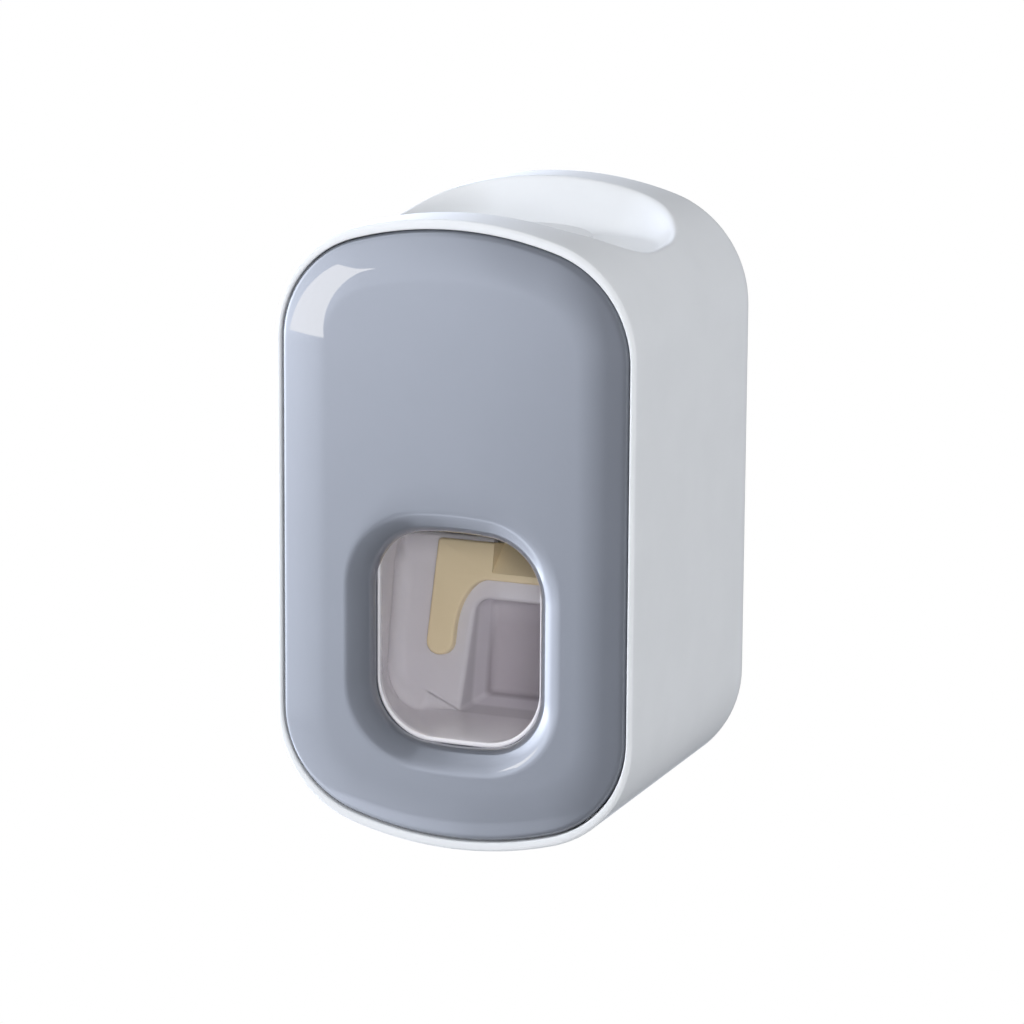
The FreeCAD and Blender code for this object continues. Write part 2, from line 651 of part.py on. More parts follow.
def make_housing_shell():
    """White case: crowned prism, hollow from the front, with the tube dish in its top."""
    body = new_body("housing_shell")
    outline = front_sketch(body, BACK)
    draw_crowned(outline, 0.0, 0.0)
    pad_along(body, outline, size.body_depth)
    round_edges(body, size.back_round, lambda edge: lies_at_depth(edge, BACK))
    round_edges(body, size.rim_round, lambda edge: lies_at_depth(edge, FRONT))
    cut_by(body, make_cavity())
    rebate = front_sketch(body, FRONT)
    draw_crowned(rebate, size.rim_side, size.rim_crown)
    cut_against(body, rebate, size.rebate_depth)
    floor = level_sketch(body, DISH_FLOOR)
    draw_dish(floor, 0.0)
    brim = level_sketch(body, HALF_HEIGHT)
    draw_dish(brim, size.dish_flare)
    loft(body, "SubtractiveLoft", [floor, brim])
    round_edges(body, size.dish_round, lambda edge: near(edge.BoundBox.ZMin, DISH_FLOOR)
                and near(edge.BoundBox.ZMax, DISH_FLOOR))
    hole = level_sketch(body, DISH_FLOOR)
    draw_circle(hole, 0.0, AXIS, size.seal_hole)
    cut_against(body, hole, size.shell_wall)
    mouth = size.plate_neck / 2 + size.slide_gap
    inner = mouth + size.plate_flare
    slot_floor = BACK - size.slot_depth
    slot = level_sketch(body, PLATE_HALF)
    draw_polygon(slot, [(-mouth, BACK), (mouth, BACK), (inner, slot_floor), (-inner, slot_floor)])
    cut_against(body, slot, PLATE_HALF + HALF_HEIGHT)
    sockets = front_sketch(body, LEDGE)
    draw_posts(sockets, size.peg_radius + size.peg_gap)
    cut_against(body, sockets, size.peg_grip + size.slide_gap)
    pilots = front_sketch(body, CAVITY_BACK)
    draw_core_circles(pilots, size.screw_radius + size.screw_gap)
    cut_against(body, pilots, size.screw_grip + size.slide_gap)
    return body


def draw_window(sketch, grow):
    """Draws the brush window's outline, grown on every side."""
    half_width = size.window_width / 2 + grow
    corner = size.window_corner + grow
    draw_rounded(sketch, -half_width, half_width, WINDOW_FOOT - grow, size.window_top + grow, corner, corner)


def make_front_panel():
    """Glossy cover: crowned plate with a rolled edge, a skirt, a rolled window and four pegs."""
    body = new_body("front_panel")
    side = size.rim_side + size.panel_gap
    crown = size.rim_crown + size.panel_gap
    plate = front_sketch(body, PANEL_BACK)
    draw_crowned(plate, side, crown)
    pad_along(body, plate, size.panel_wall)
    round_edges(body, size.panel_round, lambda edge: lies_at_depth(edge, PANEL_FACE))
    skirt = front_sketch(body, LEDGE)
    draw_crowned(skirt, side, crown)
    draw_crowned(skirt, side + size.skirt_wall, crown + size.skirt_wall)
    pad_along(body, skirt, LEDGE - PANEL_BACK)
    collar_end = PANEL_FACE + size.window_collar
    collar = front_sketch(body, collar_end)
    draw_window(collar, size.window_wall)
    pad_along(body, collar, collar_end - PANEL_BACK)
    opening = front_sketch(body, PANEL_FACE)
    draw_window(opening, 0.0)
    cut_against(body, opening, size.window_collar)
    round_edges(body, size.window_roll, lambda edge: lies_at_depth(edge, PANEL_FACE)
                and edge.BoundBox.XMax < size.window_width.value / 2 + 0.1
                and edge.BoundBox.XMin > -size.window_width.value / 2 - 0.1
                and edge.BoundBox.ZMax < size.window_top.value + 0.1)
    bosses = front_sketch(body, LEDGE)
    pegs = front_sketch(body, LEDGE + size.peg_grip)
    draw_posts(bosses, size.peg_boss)
    draw_posts(pegs, size.peg_radius)
    pad_along(body, bosses, LEDGE - PANEL_BACK)
    pad_along(body, pegs, size.peg_grip)
    return body


def paddle_line(height, offset):
    """Y of the leaning paddle's face at a height, moved back by an offset."""
    return PADDLE_EDGE + (as_size(height) - PADDLE_TOP) * TILT_RATIO + offset


def draw_cup_section(sketch, inside_width, grow):
    """Draws a section across the cup up to the top of its side walls, grown on the sides and floor."""
    half_width = inside_width / 2 + grow
    corner = size.cup_corner + grow
    draw_rounded(sketch, -half_width, half_width, CUP_FLOOR - grow, CUP_TOP, corner, size.cup_lip_round)


def draw_pocket(sketch, grow):
    """Draws the brush pocket's outline, grown on every side."""
    half_width = size.pocket_width / 2 + grow
    high = POCKET_TOP + grow
    corner = size.pocket_corner + grow
    draw_rounded(sketch, -half_width, half_width, CUP_FLOOR - grow, high, corner, corner)


def trim_behind(body, line):
    """Cuts away what lies behind a leaning plane; line gives its Y at a height."""
    low = CUP_FLOOR - size.cup_wall * 2
    high = CUP_TOP + size.cup_wall
    far = FRAME_BACK
    sketch = side_sketch(body, -CUP_BACK)
    draw_polygon(sketch, [(line(low), low), (far, low), (far, high), (line(high), high)])
    cut_along(body, sketch, CUP_BACK * 2)


def pocket_line(height):
    """Y of the pocket's leaning back at a height."""
    rate = (size.pocket_depth_foot - size.pocket_depth_top) / (POCKET_TOP - CUP_FLOOR)
    return PADDLE_EDGE + size.pocket_depth_top + (POCKET_TOP - height) * rate


def fill_cup(body, grow, wall):
    """Adds the cup's trough, leaning paddle and brush pocket to a body.

    With no growth this is the hollow, and grown by the wall it is the cup's outside.
    """
    lip = front_sketch(body, CUP_LIP)
    draw_cup_section(lip, size.cup_mouth, grow)
    rear = front_sketch(body, PADDLE_EDGE + size.paddle_wall)
    draw_cup_section(rear, CUP_BACK, grow)
    loft(body, "AdditiveLoft", [lip, rear])
    trim_behind(body, lambda height: paddle_line(height, wall))
    rear_end = PADDLE_EDGE + size.pocket_depth_foot + size.cup_wall
    pocket = front_sketch(body, rear_end)
    draw_pocket(pocket, grow)
    pad_along(body, pocket, rear_end - CUP_LIP)
    trim_behind(body, lambda height: pocket_line(height) + grow)


def make_push_cup():
    """See-through cup: flared trough, leaning paddle and the pocket that takes the brush's head."""
    hollow = new_body("cup_hollow")
    fill_cup(hollow, as_size(0.0), as_size(0.0))
    body = new_body("push_cup")
    fill_cup(body, size.cup_wall, size.paddle_wall)
    bosses = front_sketch(body, CROSS_FRONT)
    draw_cup_circles(bosses, size.cup_boss)
    pad_along(body, bosses, CROSS_FRONT - paddle_line(CUP_SCREW_HEIGHT, size.paddle_wall / 2))
    cut_by(body, hollow)
    above = front_sketch(body, FRAME_BACK)
    reach = size.cup_mouth / 2
    draw_polygon(above, [(-reach, PADDLE_TOP), (reach, PADDLE_TOP), (reach, CUP_TOP), (-reach, CUP_TOP)])
    cut_along(body, above, FRAME_BACK - CUP_LIP)
    notch = front_sketch(body, FRAME_BACK)
    half_width = size.chute_width / 2 + size.chute_wall + size.running_gap
    low = PADDLE_TOP - CHUTE_DROP - size.chute_wall * 2
    draw_polygon(notch, [(-half_width, low), (half_width, low), (half_width, CUP_TOP), (-half_width, CUP_TOP)])
    cut_along(body, notch, FRAME_BACK - CUP_LIP)
    pilots = front_sketch(body, CROSS_FRONT)
    draw_cup_circles(pilots, size.screw_radius + size.screw_gap)
    cut_along(body, pilots, size.cup_screw_grip + size.slide_gap)
    return body


def make_push_yoke():
    """Beige yoke on the paddle: a bar with two prongs, and a paste chute sunk into the bar."""
    body = new_body("push_yoke")
    half_width = size.yoke_width / 2
    inner = half_width - size.yoke_prong
    tip = size.yoke_prong / 2 - size.screw_gap
    plate = front_sketch(body, 0.0)
    draw_rounded(plate, -half_width, half_width, YOKE_TIP, 0.0, tip, size.chute_wall)
    pad_along(body, plate, size.yoke_wall)
    arch = front_sketch(body, 0.0)
    below = YOKE_TIP - YOKE_ARCH * 2
    draw_rounded(arch, -inner, inner, below, -YOKE_BRIDGE, YOKE_ARCH / 2, YOKE_ARCH)
    cut_along(body, arch, size.yoke_wall)
    round_edges(body, tip, lambda edge: near(edge.BoundBox.ZMax, YOKE_TIP)
                and near(abs(edge.BoundBox.XMax), inner) and near(edge.BoundBox.XMin, edge.BoundBox.XMax))
    block = front_sketch(body, 0.0)
    side = size.chute_width / 2 + size.chute_wall
    foot = -CHUTE_DROP - size.chute_wall
    draw_polygon(block, [(-side, foot), (side, foot), (side, 0.0), (-side, 0.0)])
    pad_against(body, block, size.chute_depth + size.chute_wall - size.yoke_wall)
    chute = side_sketch(body, -size.chute_width / 2)
    deep = size.chute_depth - size.yoke_wall
    draw_polygon(chute, [(-size.yoke_wall, -CHUTE_DROP), (deep, 0.0), (-size.yoke_wall, 0.0)])
    cut_along(body, chute, size.chute_width)
    turn = FreeCAD.Rotation(VECTOR(1, 0, 0), -size.paddle_tilt.value)
    body.Placement = FreeCAD.Placement(VECTOR(0, PADDLE_EDGE.value, PADDLE_TOP.value), turn)
    bind(body, "Placement.Base.y", PADDLE_EDGE)
    bind(body, "Placement.Base.z", PADDLE_TOP)
    return body


def make_push_carriage():
    """Sliding carriage behind the cup: a cross plate, two cam wings and their guide tongues."""
    body = new_body("push_carriage")
    gap = size.slide_gap
    top = size.window_top - size.cross_top
    inner = WING_OUTER - size.upright_width
    pocket_half = size.pocket_width / 2 + size.cup_wall + gap
    pocket_foot = CUP_FLOOR - size.cup_wall - gap
    foot_half = pocket_half + size.cross_foot_side
    foot = pocket_foot - size.cross_strip
    cross = front_sketch(body, CROSS_BACK)
    right_half = [
        (foot_half, foot), (WING_OUTER, CUP_FLOOR), (WING_OUTER, size.wing_top), (inner, size.wing_top),
        (inner, top), (pocket_half, top), (pocket_half, pocket_foot),
    ]
    left_half = [(-across, up) for across, up in reversed(right_half)]
    draw_polygon(cross, right_half + left_half)
    pad_along(body, cross, size.cross_wall)
    front = AXIS - size.wing_front
    back = AXIS + size.wing_back
    for start in (-WING_OUTER, WING_INNER):
        wing = side_sketch(body, start)
        draw_box(wing, front, back, size.wing_bottom, size.wing_top)
        pad_along(body, wing, size.wing_wall)
    for start in (-WING_OUTER - size.tongue_width, WING_OUTER):
        tongue = side_sketch(body, start)
        draw_box(tongue, front, back, size.wing_top - size.tongue_height, size.wing_top)
        pad_along(body, tongue, size.tongue_width)
    cams = side_sketch(body, -WING_OUTER)
    high_end = (AXIS - size.push_travel, size.pin_height + size.lift_travel)
    draw_slot(cams, (AXIS, size.pin_height), high_end, size.pin_radius + size.pin_gap)
    cut_along(body, cams, WING_OUTER * 2)
    holes = front_sketch(body, CROSS_BACK)
    draw_cup_circles(holes, size.screw_radius + size.screw_gap)
    cut_along(body, holes, size.cross_wall)
    spigots = front_sketch(body, CROSS_BACK)
    draw_pair(spigots, SPRING_SIDE, SPRING_HEIGHT, size.spigot_radius)
    pad_against(body, spigots, size.spigot_length)
    return body


def make_screws(label, draw, seat, shank, outward):
    """A group of screws: heads on a seat plane and shanks through it.

    The heads stand forward of the seat where outward is true, and behind it otherwise.
    """
    body = new_body(label)
    heads = front_sketch(body, seat)
    draw(heads, size.screw_head)
    shanks = front_sketch(body, seat)
    draw(shanks, size.screw_radius)
    if outward:
        pad_along(body, heads, size.screw_head_height)
        pad_against(body, shanks, shank)
    else:
        pad_against(body, heads, size.screw_head_height)
        pad_along(body, shanks, shank)
    return body


def make_core_frame():
    """Fixed frame in the housing: back plate, two slotted cheeks and the deck that holds the pump."""
    body = new_body("core_frame")
    front = FRONT + size.frame_front
    pocket_half = size.pocket_width / 2 + size.cup_wall + size.running_gap * 2
    pocket_top = POCKET_TOP + size.cup_wall + size.running_gap * 2
    plate = front_sketch(body, FRAME_BACK)
    right_half = [(pocket_half, pocket_top), (pocket_half, FRAME_FOOT), (CHEEK_OUTER, FRAME_FOOT),
                  (CHEEK_OUTER, DECK_TOP)]
    draw_polygon(plate, right_half + [(-across, up) for across, up in reversed(right_half)])
    pad_against(body, plate, size.frame_wall)
    for start in (-CHEEK_OUTER, CHEEK_INNER):
        cheek = side_sketch(body, start)
        draw_box(cheek, front, FRAME_BACK, size.cheek_bottom, DECK_TOP)
        pad_along(body, cheek, size.cheek_wall)
    deck = level_sketch(body, DECK)
    draw_box(deck, -CHEEK_INNER, CHEEK_INNER, front, FRAME_BACK)
    pad_along(body, deck, size.deck_wall)
    inlet = level_sketch(body, DECK_TOP)
    draw_circle(inlet, 0.0, AXIS, size.seat_body + size.seat_fit)
    cut_against(body, inlet, size.deck_wall)
    slots = side_sketch(body, -CHEEK_OUTER)
    high_end = (AXIS, size.pin_height + size.lift_travel)
    draw_slot(slots, (AXIS, size.pin_height), high_end, size.pin_radius + size.pin_gap)
    cut_along(body, slots, CHEEK_OUTER * 2)
    reach = WING_OUTER + size.tongue_width + size.running_gap
    grooves = side_sketch(body, -reach)
    low = size.wing_top - size.tongue_height - size.running_gap
    draw_box(grooves, front, FRAME_BACK, low, size.wing_top + size.running_gap)
    cut_along(body, grooves, reach * 2)
    holes = front_sketch(body, FRAME_BACK)
    draw_core_circles(holes, size.screw_radius + size.screw_gap)
    cut_against(body, holes, size.frame_wall)
    spigots = front_sketch(body, FRAME_BACK)
    draw_pair(spigots, SPRING_SIDE, SPRING_HEIGHT, size.spigot_radius)
    pad_along(body, spigots, size.spigot_length)
    return body


def make_tube_seal():
    """Soft grommet in the dish's floor: a funnel mouth, a bore that grips the tube's neck and a spout."""
    body = new_body("tube_seal")
    under = DISH_FLOOR - size.shell_wall
    groove = size.seal_hole - size.seal_fit
    rim = DISH_FLOOR + size.seal_lip
    revolve(body, [
        (size.seal_bore, SEAT_TOP), (size.spout_radius, SEAT_TOP),
        (size.spout_radius, under - size.seal_lip), (size.seal_flange, under - size.seal_lip),
        (size.seal_flange, under - size.seal_fit), (groove, under - size.seal_fit),
        (groove, DISH_FLOOR + size.seal_fit), (size.seal_flange, DISH_FLOOR + size.seal_fit),
        (size.seal_flange, rim), (size.seal_bore + size.seal_lead, rim),
        (size.seal_bore, under - size.lead_gap),
    ])
    put_on_axis(body)
    return body


def make_inlet_seat():
    """Valve seat in the deck: a flanged bush whose web has a ring of ports."""
    body = new_body("inlet_seat")
    hole = size.stem_radius + size.stem_fit
    web_top = SEAT_FOOT + size.seat_web
    well = size.seal_bore + size.running_gap
    revolve(body, [
        (hole, SEAT_FOOT), (size.seat_body, SEAT_FOOT), (size.seat_body, DECK_TOP),
        (size.seat_flange, DECK_TOP), (size.seat_flange, SEAT_TOP), (well, SEAT_TOP),
        (well, web_top), (hole, web_top),
    ])
    port = level_sketch(body, web_top)
    draw_circle(port, size.port_circle, 0.0, size.port_radius)
    first_port = cut_against(body, port, size.seat_web)
    ports = body.newObject("PartDesign::PolarPattern", "Ports")
    upright = next(item for item in body.Origin.OriginFeatures if item.Role == "Z_Axis")
    ports.Originals = [first_port]
    ports.Axis = (upright, [""])
    ports.Angle = 360.0
    ports.Occurrences = 6
    body.Tip = ports
    settle(ports)
    put_on_axis(body)
    return body


def make_inlet_flap():
    """Soft flap under the ports, held by a knobbed stem through the seat's web."""
    body = new_body("inlet_flap")
    web_top = SEAT_FOOT + size.seat_web
    knob_foot = web_top + size.stem_fit
    revolve(body, [
        (0.0, SEAT_FOOT - size.flap_wall), (size.flap_radius, SEAT_FOOT - size.flap_wall),
        (size.flap_radius, SEAT_FOOT), (size.stem_radius, SEAT_FOOT), (size.stem_radius, knob_foot),
        (size.stem_knob, knob_foot), (size.stem_radius / 2, knob_foot + size.stem_knob),
        (0.0, knob_foot + size.stem_knob),
    ])
    put_on_axis(body)
    return body


def make_pump_bellows():
    """Folded rubber pump between the deck and the nozzle carriage."""
    body = new_body("pump_bellows")
    upper = DECK - size.bellows_lip
    lower = size.hub_top + size.bellows_lip
    flats = 2 * int(round(size.bellows_folds.value)) - 1
    step = (upper - lower) / flats
    radii = [size.bellows_outer, size.bellows_inner]
    nodes = [(radii[index % 2], upper - step * index) for index in range(flats + 1)]
    inside = [(radius - size.bellows_wall, height) for radius, height in reversed(nodes)]
    collar = HUB_SEAT - size.clamp_gap
    throat = size.seat_body + size.clamp_gap
    revolve(body, [(throat, DECK), (size.bellows_flange, DECK),
                   (size.bellows_flange, upper)] + nodes
            + [(collar, lower), (collar, size.hub_top), (size.bellows_inner - size.bellows_wall, size.hub_top)]
            + inside)
    put_on_axis(body)
    return body


def make_bellows_clamp():
    """Ring that holds the bellows' flange up against the deck."""
    body = new_body("bellows_clamp")
    inner = size.bellows_outer + size.clamp_gap * 2
    pocket = size.bellows_flange + size.clamp_gap
    shelf = DECK - size.bellows_lip
    revolve(body, [
        (inner, shelf - size.clamp_wall), (size.clamp_outer, shelf - size.clamp_wall),
        (size.clamp_outer, DECK), (pocket, DECK), (pocket, shelf), (inner, shelf),
    ])
    put_on_axis(body)
    return body


def make_nozzle_carriage():
    """Lifting bar: a hub that carries the bellows and the nozzle, with an arm to each cam pin."""
    body = new_body("nozzle_carriage")
    half_width = WING_INNER - size.running_gap
    half_depth = size.bar_depth / 2
    bar = level_sketch(body, size.hub_bottom)
    draw_box(bar, -half_width, half_width, -half_depth, half_depth)
    pad_along(body, bar, size.hub_top - size.hub_bottom)
    rim = size.hub_top + size.hub_rim
    revolve(body, [
        (size.hub_bore, size.hub_bottom), (size.hub_radius, size.hub_bottom), (size.hub_radius, rim),
        (HUB_SEAT, rim), (HUB_SEAT, size.hub_top), (size.hub_bore, size.hub_top),
    ])
    bore = level_sketch(body, size.hub_top)
    draw_circle(bore, 0.0, 0.0, size.hub_bore)
    cut_against(body, bore, size.hub_top - size.hub_bottom)
    right = side_sketch(body, half_width)
    draw_circle(right, 0.0, size.pin_height, size.pin_radius + size.pin_fit)
    cut_against(body, right, size.pin_seat)
    left = side_sketch(body, -half_width)
    draw_circle(left, 0.0, size.pin_height, size.pin_radius + size.pin_fit)
    cut_along(body, left, size.pin_seat)
    put_on_axis(body)
    return body


def make_cam_pins():
    """Two steel pins from the carriage's arms through the cams into the cheeks' slots."""
    body = new_body("cam_pins")
    inner = WING_INNER - size.running_gap - size.pin_seat
    outer = CHEEK_OUTER - size.running_gap
    for start in (-outer, inner):
        pin = side_sketch(body, start)
        draw_circle(pin, 0.0, size.pin_height, size.pin_radius)
        pad_along(body, pin, outer - inner)
    put_on_axis(body)
    return body


def draw_bill(sketch, half_width, half_depth, corner):
    """Draws one section of the duckbill about the nozzle's axis."""
    draw_rounded(sketch, -half_width, half_width, -half_depth, half_depth, corner, corner)


def make_duckbill_nozzle():
    """Soft nozzle: a flange, a round neck and a bill that flattens to a slit."""
    body = new_body("duckbill_nozzle")
    neck_foot = size.nozzle_tip + size.bill_height
    flange = size.hub_bottom - size.nozzle_lip
    revolve(body, [
        (size.nozzle_bore, neck_foot), (size.nozzle_radius, neck_foot), (size.nozzle_radius, flange),
        (size.nozzle_flange, flange), (size.nozzle_flange, size.hub_bottom),
        (size.nozzle_bore, size.hub_bottom),
    ])
    flat = size.bill_slit / 2
    neck = level_sketch(body, neck_foot)
    draw_bill(neck, size.nozzle_radius, size.nozzle_radius, size.nozzle_radius - flat)
    tip = level_sketch(body, size.nozzle_tip)
    draw_bill(tip, size.nozzle_radius, size.bill_thickness / 2, size.bill_thickness / 2 - flat / 2)
    loft(body, "AdditiveLoft", [neck, tip])
    throat = level_sketch(body, neck_foot)
    draw_bill(throat, size.nozzle_bore, size.nozzle_bore, size.nozzle_bore - flat)
    slit = level_sketch(body, size.nozzle_tip)
    draw_bill(slit, size.nozzle_bore, flat, flat / 2)
    loft(body, "SubtractiveLoft", [throat, slit])
    put_on_axis(body)
    return body


def make_nozzle_nut():
    """Ring nut that holds the nozzle's flange against the hub."""
    body = new_body("nozzle_nut")
    flange = size.hub_bottom - size.nozzle_lip
    hole = size.nozzle_radius + size.nut_gap
    pocket = size.nozzle_flange + size.nut_gap
    revolve(body, [
        (hole, flange - size.nut_lip), (size.nut_radius, flange - size.nut_lip),
        (size.nut_radius, size.hub_bottom), (pocket, size.hub_bottom), (pocket, flange), (hole, flange),
    ])
    put_on_axis(body)
    return body


def arc_from(start, heading, end):
    """The arc that leaves a point along a heading and ends at another point."""
    chord = end - start
    along = heading.dot(chord) / chord.Length
    aside = heading - chord * (along / chord.Length)
    aside.normalize()
    bulge = chord.Length / 2 * math.tan(math.acos(along) / 2)
    return Part.Arc(start, start + chord * 0.5 + aside * bulge, end).toShape()


def biarc(start, start_heading, end, end_heading):
    """Two tangent arcs between two points with given unit headings."""
    chord = end - start
    both = start_heading + end_heading
    spread = 2 * (1 - start_heading.dot(end_heading))
    reach = chord.dot(both)
    arm = (math.sqrt(reach ** 2 + spread * chord.dot(chord)) - reach) / spread
    middle = (start + start_heading * arm + end - end_heading * arm) * 0.5
    turned = middle - (start + start_heading * arm)
    turned.normalize()
    return [arc_from(start, start_heading, middle), arc_from(middle, turned, end)]


def self_gap(path, quarters, thickness):
    """Least air between a wound wire's turns, measured on points along its path."""
    points = path.discretize(Number=16 * quarters + 1)
    apart = 48
    nearest = min(points[index].distanceToPoint(later)
                  for index in range(len(points) - apart) for later in points[index + apart:])
    return nearest - thickness


def make_return_spring(label, across):
    """Compression spring between the carriage and the frame: one wire wound round its spigots."""
    radius = size.spring_radius.value
    wire = size.spring_wire.value / 2
    inset = size.spring_seat_gap.value + wire
    start = CROSS_BACK.value + inset
    length = FRAME_BACK.value - inset - start
    quarters = int(round(4 * size.spring_turns.value))
    rise = length / (2 * math.pi * size.spring_turns.value)

    def point(index):
        angle = math.pi / 2 * index
        return VECTOR(across.value + radius * math.cos(angle), start + length * index / quarters,
                      SPRING_HEIGHT.value + radius * math.sin(angle))

    def heading(index):
        angle = math.pi / 2 * index
        way = VECTOR(-radius * math.sin(angle), rise, radius * math.cos(angle))
        return way.normalize()

    arcs = []
    for index in range(quarters):
        arcs += biarc(point(index), heading(index), point(index + 1), heading(index + 1))
    path = Part.Wire(arcs)
    section = Part.Wire([Part.Circle(point(0), heading(0), wire).toShape()])
    spring = DOC.addObject("Part::Feature", label)
    spring.Label = label
    spring.Shape = Part.Solid(path.makePipeShell([section], True, False).Shells[0])
    print(f"{label}: least gap to itself {self_gap(path, quarters, 2 * wire):.2f} mm")
    return spring


def make_pieces():
    """Builds every sub-part, from the wall outwards."""
    return [
        make_adhesive_pad(),
        make_wall_plate(),
        make_housing_shell(),
        make_front_panel(),
        make_core_frame(),
        make_screws("core_screws", draw_core_circles, FRAME_BACK, size.frame_wall + size.screw_grip, True),
        make_tube_seal(),
        make_inlet_seat(),
        make_inlet_flap(),
        make_pump_bellows(),
        make_bellows_clamp(),
        make_push_cup(),
        make_push_yoke(),
        make_push_carriage(),
        make_screws("cup_screws", draw_cup_circles, CROSS_BACK, size.cross_wall + size.cup_screw_grip, False),
        make_return_spring("return_spring_left", -SPRING_SIDE),
        make_return_spring("return_spring_right", SPRING_SIDE),
        make_nozzle_carriage(),
        make_cam_pins(),
        make_duckbill_nozzle(),
        make_nozzle_nut(),
    ]


def write_pieces(pieces):
    """Checks every object of the document, then writes each sub-part to its own file."""
    DOC.recompute()
    for item in DOC.Objects:
        if "Invalid" in item.State or "Error" in item.State:
            raise RuntimeError(f"{item.Label} did not recompute: {item.State}")
    for piece in pieces:
        if piece.Shape.isNull() or not piece.Shape.isValid():
            raise RuntimeError(f"{piece.Label} has no valid shape")
    os.makedirs("parts", exist_ok=True)
    for piece in pieces:
        piece.Shape.exportStep(f"parts/{piece.Label}.step")
        print(f"{piece.Label}: {len(piece.Shape.Solids)} solid, {piece.Shape.Volume:.1f} mm3")


write_pieces(make_pieces())
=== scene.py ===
"""Looks of the wall-held toothpaste dispenser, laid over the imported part's fixed frame.

The case, the front panel, the push cup and the yoke are built here as whole-array surfaces with the
rounded edges of real mouldings, and so are the soft and wound pieces inside. All other pieces are the
frame's own solids with finishes of their own.

Lengths are in millimetres in the part's frame (+X to the right, +Y into the wall, +Z up), and become
metres where a mesh is made. A flat point is an X and a Z on the front.
"""

import logging
import math
from dataclasses import dataclass, replace
from enum import Enum

import bmesh
import bpy
import numpy as np
from mathutils import Matrix

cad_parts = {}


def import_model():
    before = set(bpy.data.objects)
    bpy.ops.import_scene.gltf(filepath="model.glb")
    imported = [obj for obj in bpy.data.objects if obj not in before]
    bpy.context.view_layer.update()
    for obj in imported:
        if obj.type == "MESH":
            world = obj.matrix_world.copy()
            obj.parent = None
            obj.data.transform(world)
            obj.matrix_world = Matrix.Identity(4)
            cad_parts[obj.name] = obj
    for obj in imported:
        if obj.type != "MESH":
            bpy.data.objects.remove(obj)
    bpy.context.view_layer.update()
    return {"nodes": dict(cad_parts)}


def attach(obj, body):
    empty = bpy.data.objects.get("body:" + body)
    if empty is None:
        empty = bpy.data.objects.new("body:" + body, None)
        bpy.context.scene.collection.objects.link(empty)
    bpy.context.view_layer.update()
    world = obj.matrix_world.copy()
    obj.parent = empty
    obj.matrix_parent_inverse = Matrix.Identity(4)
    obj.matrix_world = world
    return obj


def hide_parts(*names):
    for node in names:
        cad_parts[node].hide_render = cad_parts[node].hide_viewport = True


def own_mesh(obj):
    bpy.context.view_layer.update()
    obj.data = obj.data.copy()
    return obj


Pair = tuple[float, float]
Triple = tuple[float, float, float]
Node = bpy.types.Node
Socket = bpy.types.NodeSocket
Tree = bpy.types.NodeTree
Material = bpy.types.Material
Piece = bpy.types.Object

LOG = logging.getLogger("dispenser")
METRES = 0.001
FULL_TURN = 2.0 * math.pi
HALF_TURN = math.pi
QUARTER_TURN = math.pi / 2
SHARP_ANGLE = math.radians(38.0)
MERGE_REACH = 2e-6
SLIVER_REACH = 1e-6

# Planes and places that several pieces share, as in the part
RIM_PLANE = -56.0
BACK_PLANE = -2.0
CAVITY_BACK = -7.0
LEDGE = -50.0
PANEL_FACE = -56.5
PANEL_BACK = -54.1
TUBE_AXIS = -29.0
DISH_FLOOR = 43.0
PADDLE_EDGE = -26.4
PADDLE_TOP = -7.5
PADDLE_LEAN = 0.2126
PEG_PLACES = ((-22.0, 37.5), (-22.0, -40.8), (22.0, 37.5), (22.0, -40.8))

# Sizes of the front's outline and of the brush window
FRONT_HALF_WIDTH = 30.5
FRONT_HALF_HEIGHT = 51.0
FRONT_CORNER = 18.5
WINDOW_HALF_WIDTH = 14.3
WINDOW_TOP = 0.6
WINDOW_FOOT = -34.5
WINDOW_CORNER = 9.5
ARCH_RADIUS = 60.0

# Points round a turned piece
SMALL_TURNS = 48
FULL_TURNS = 96

# Detail of a finish's two noises, the mottle's ramp and the depth that light scatters to, in metres
MOTTLE_DETAIL = 4.0
GRAIN_DETAIL = 2.0
MOTTLE_RAMP = (0.35, 0.65)
SCATTER_REACH = (0.004, 0.004, 0.004)
COOL_WHITE = (0.96, 0.97, 1.0, 1.0)
PLAIN_WHITE = (1.0, 1.0, 1.0, 1.0)


class Body(Enum):
    """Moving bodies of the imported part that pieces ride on."""

    MOUNT = "wall_mount"
    HOUSING = "housing"
    COVER = "front_cover"
    PUSH = "push"
    NOZZLE = "nozzle_lift"


def set_sockets(node: Node, values: dict[str, object]) -> None:
    """Sets a node's input sockets by their names."""
    for socket, value in values.items():
        node.inputs[socket].default_value = value


def join(first: Node, output: str, second: Node, socket: str | int) -> None:
    """Links a node's output to an input of another node of its tree."""
    first.id_data.links.new(first.outputs[output], second.inputs[socket])


def add_node(tree: Tree, kind: str, values: dict[str, object]) -> Node:
    """Adds a node and sets its input sockets.

    Args:
        tree: node tree that takes the node.
        kind: type name of the node.
        values: what each named socket is set to.

    Returns:
        The new node.
    """
    node = tree.nodes.new(kind)
    set_sockets(node, values)
    return node


def add_noise(tree: Tree, place: Node, size: float, detail: float) -> Node:
    """Adds a noise on object coordinates.

    Args:
        tree: node tree that takes the noise.
        place: its texture coordinate node.
        size: size of the noise's features in millimetres.
        detail: the noise's detail.

    Returns:
        The noise node.
    """
    cloud = add_node(tree, "ShaderNodeTexNoise", {"Scale": 1.0 / (size * METRES), "Detail": detail})
    join(place, "Object", cloud, "Vector")
    return cloud


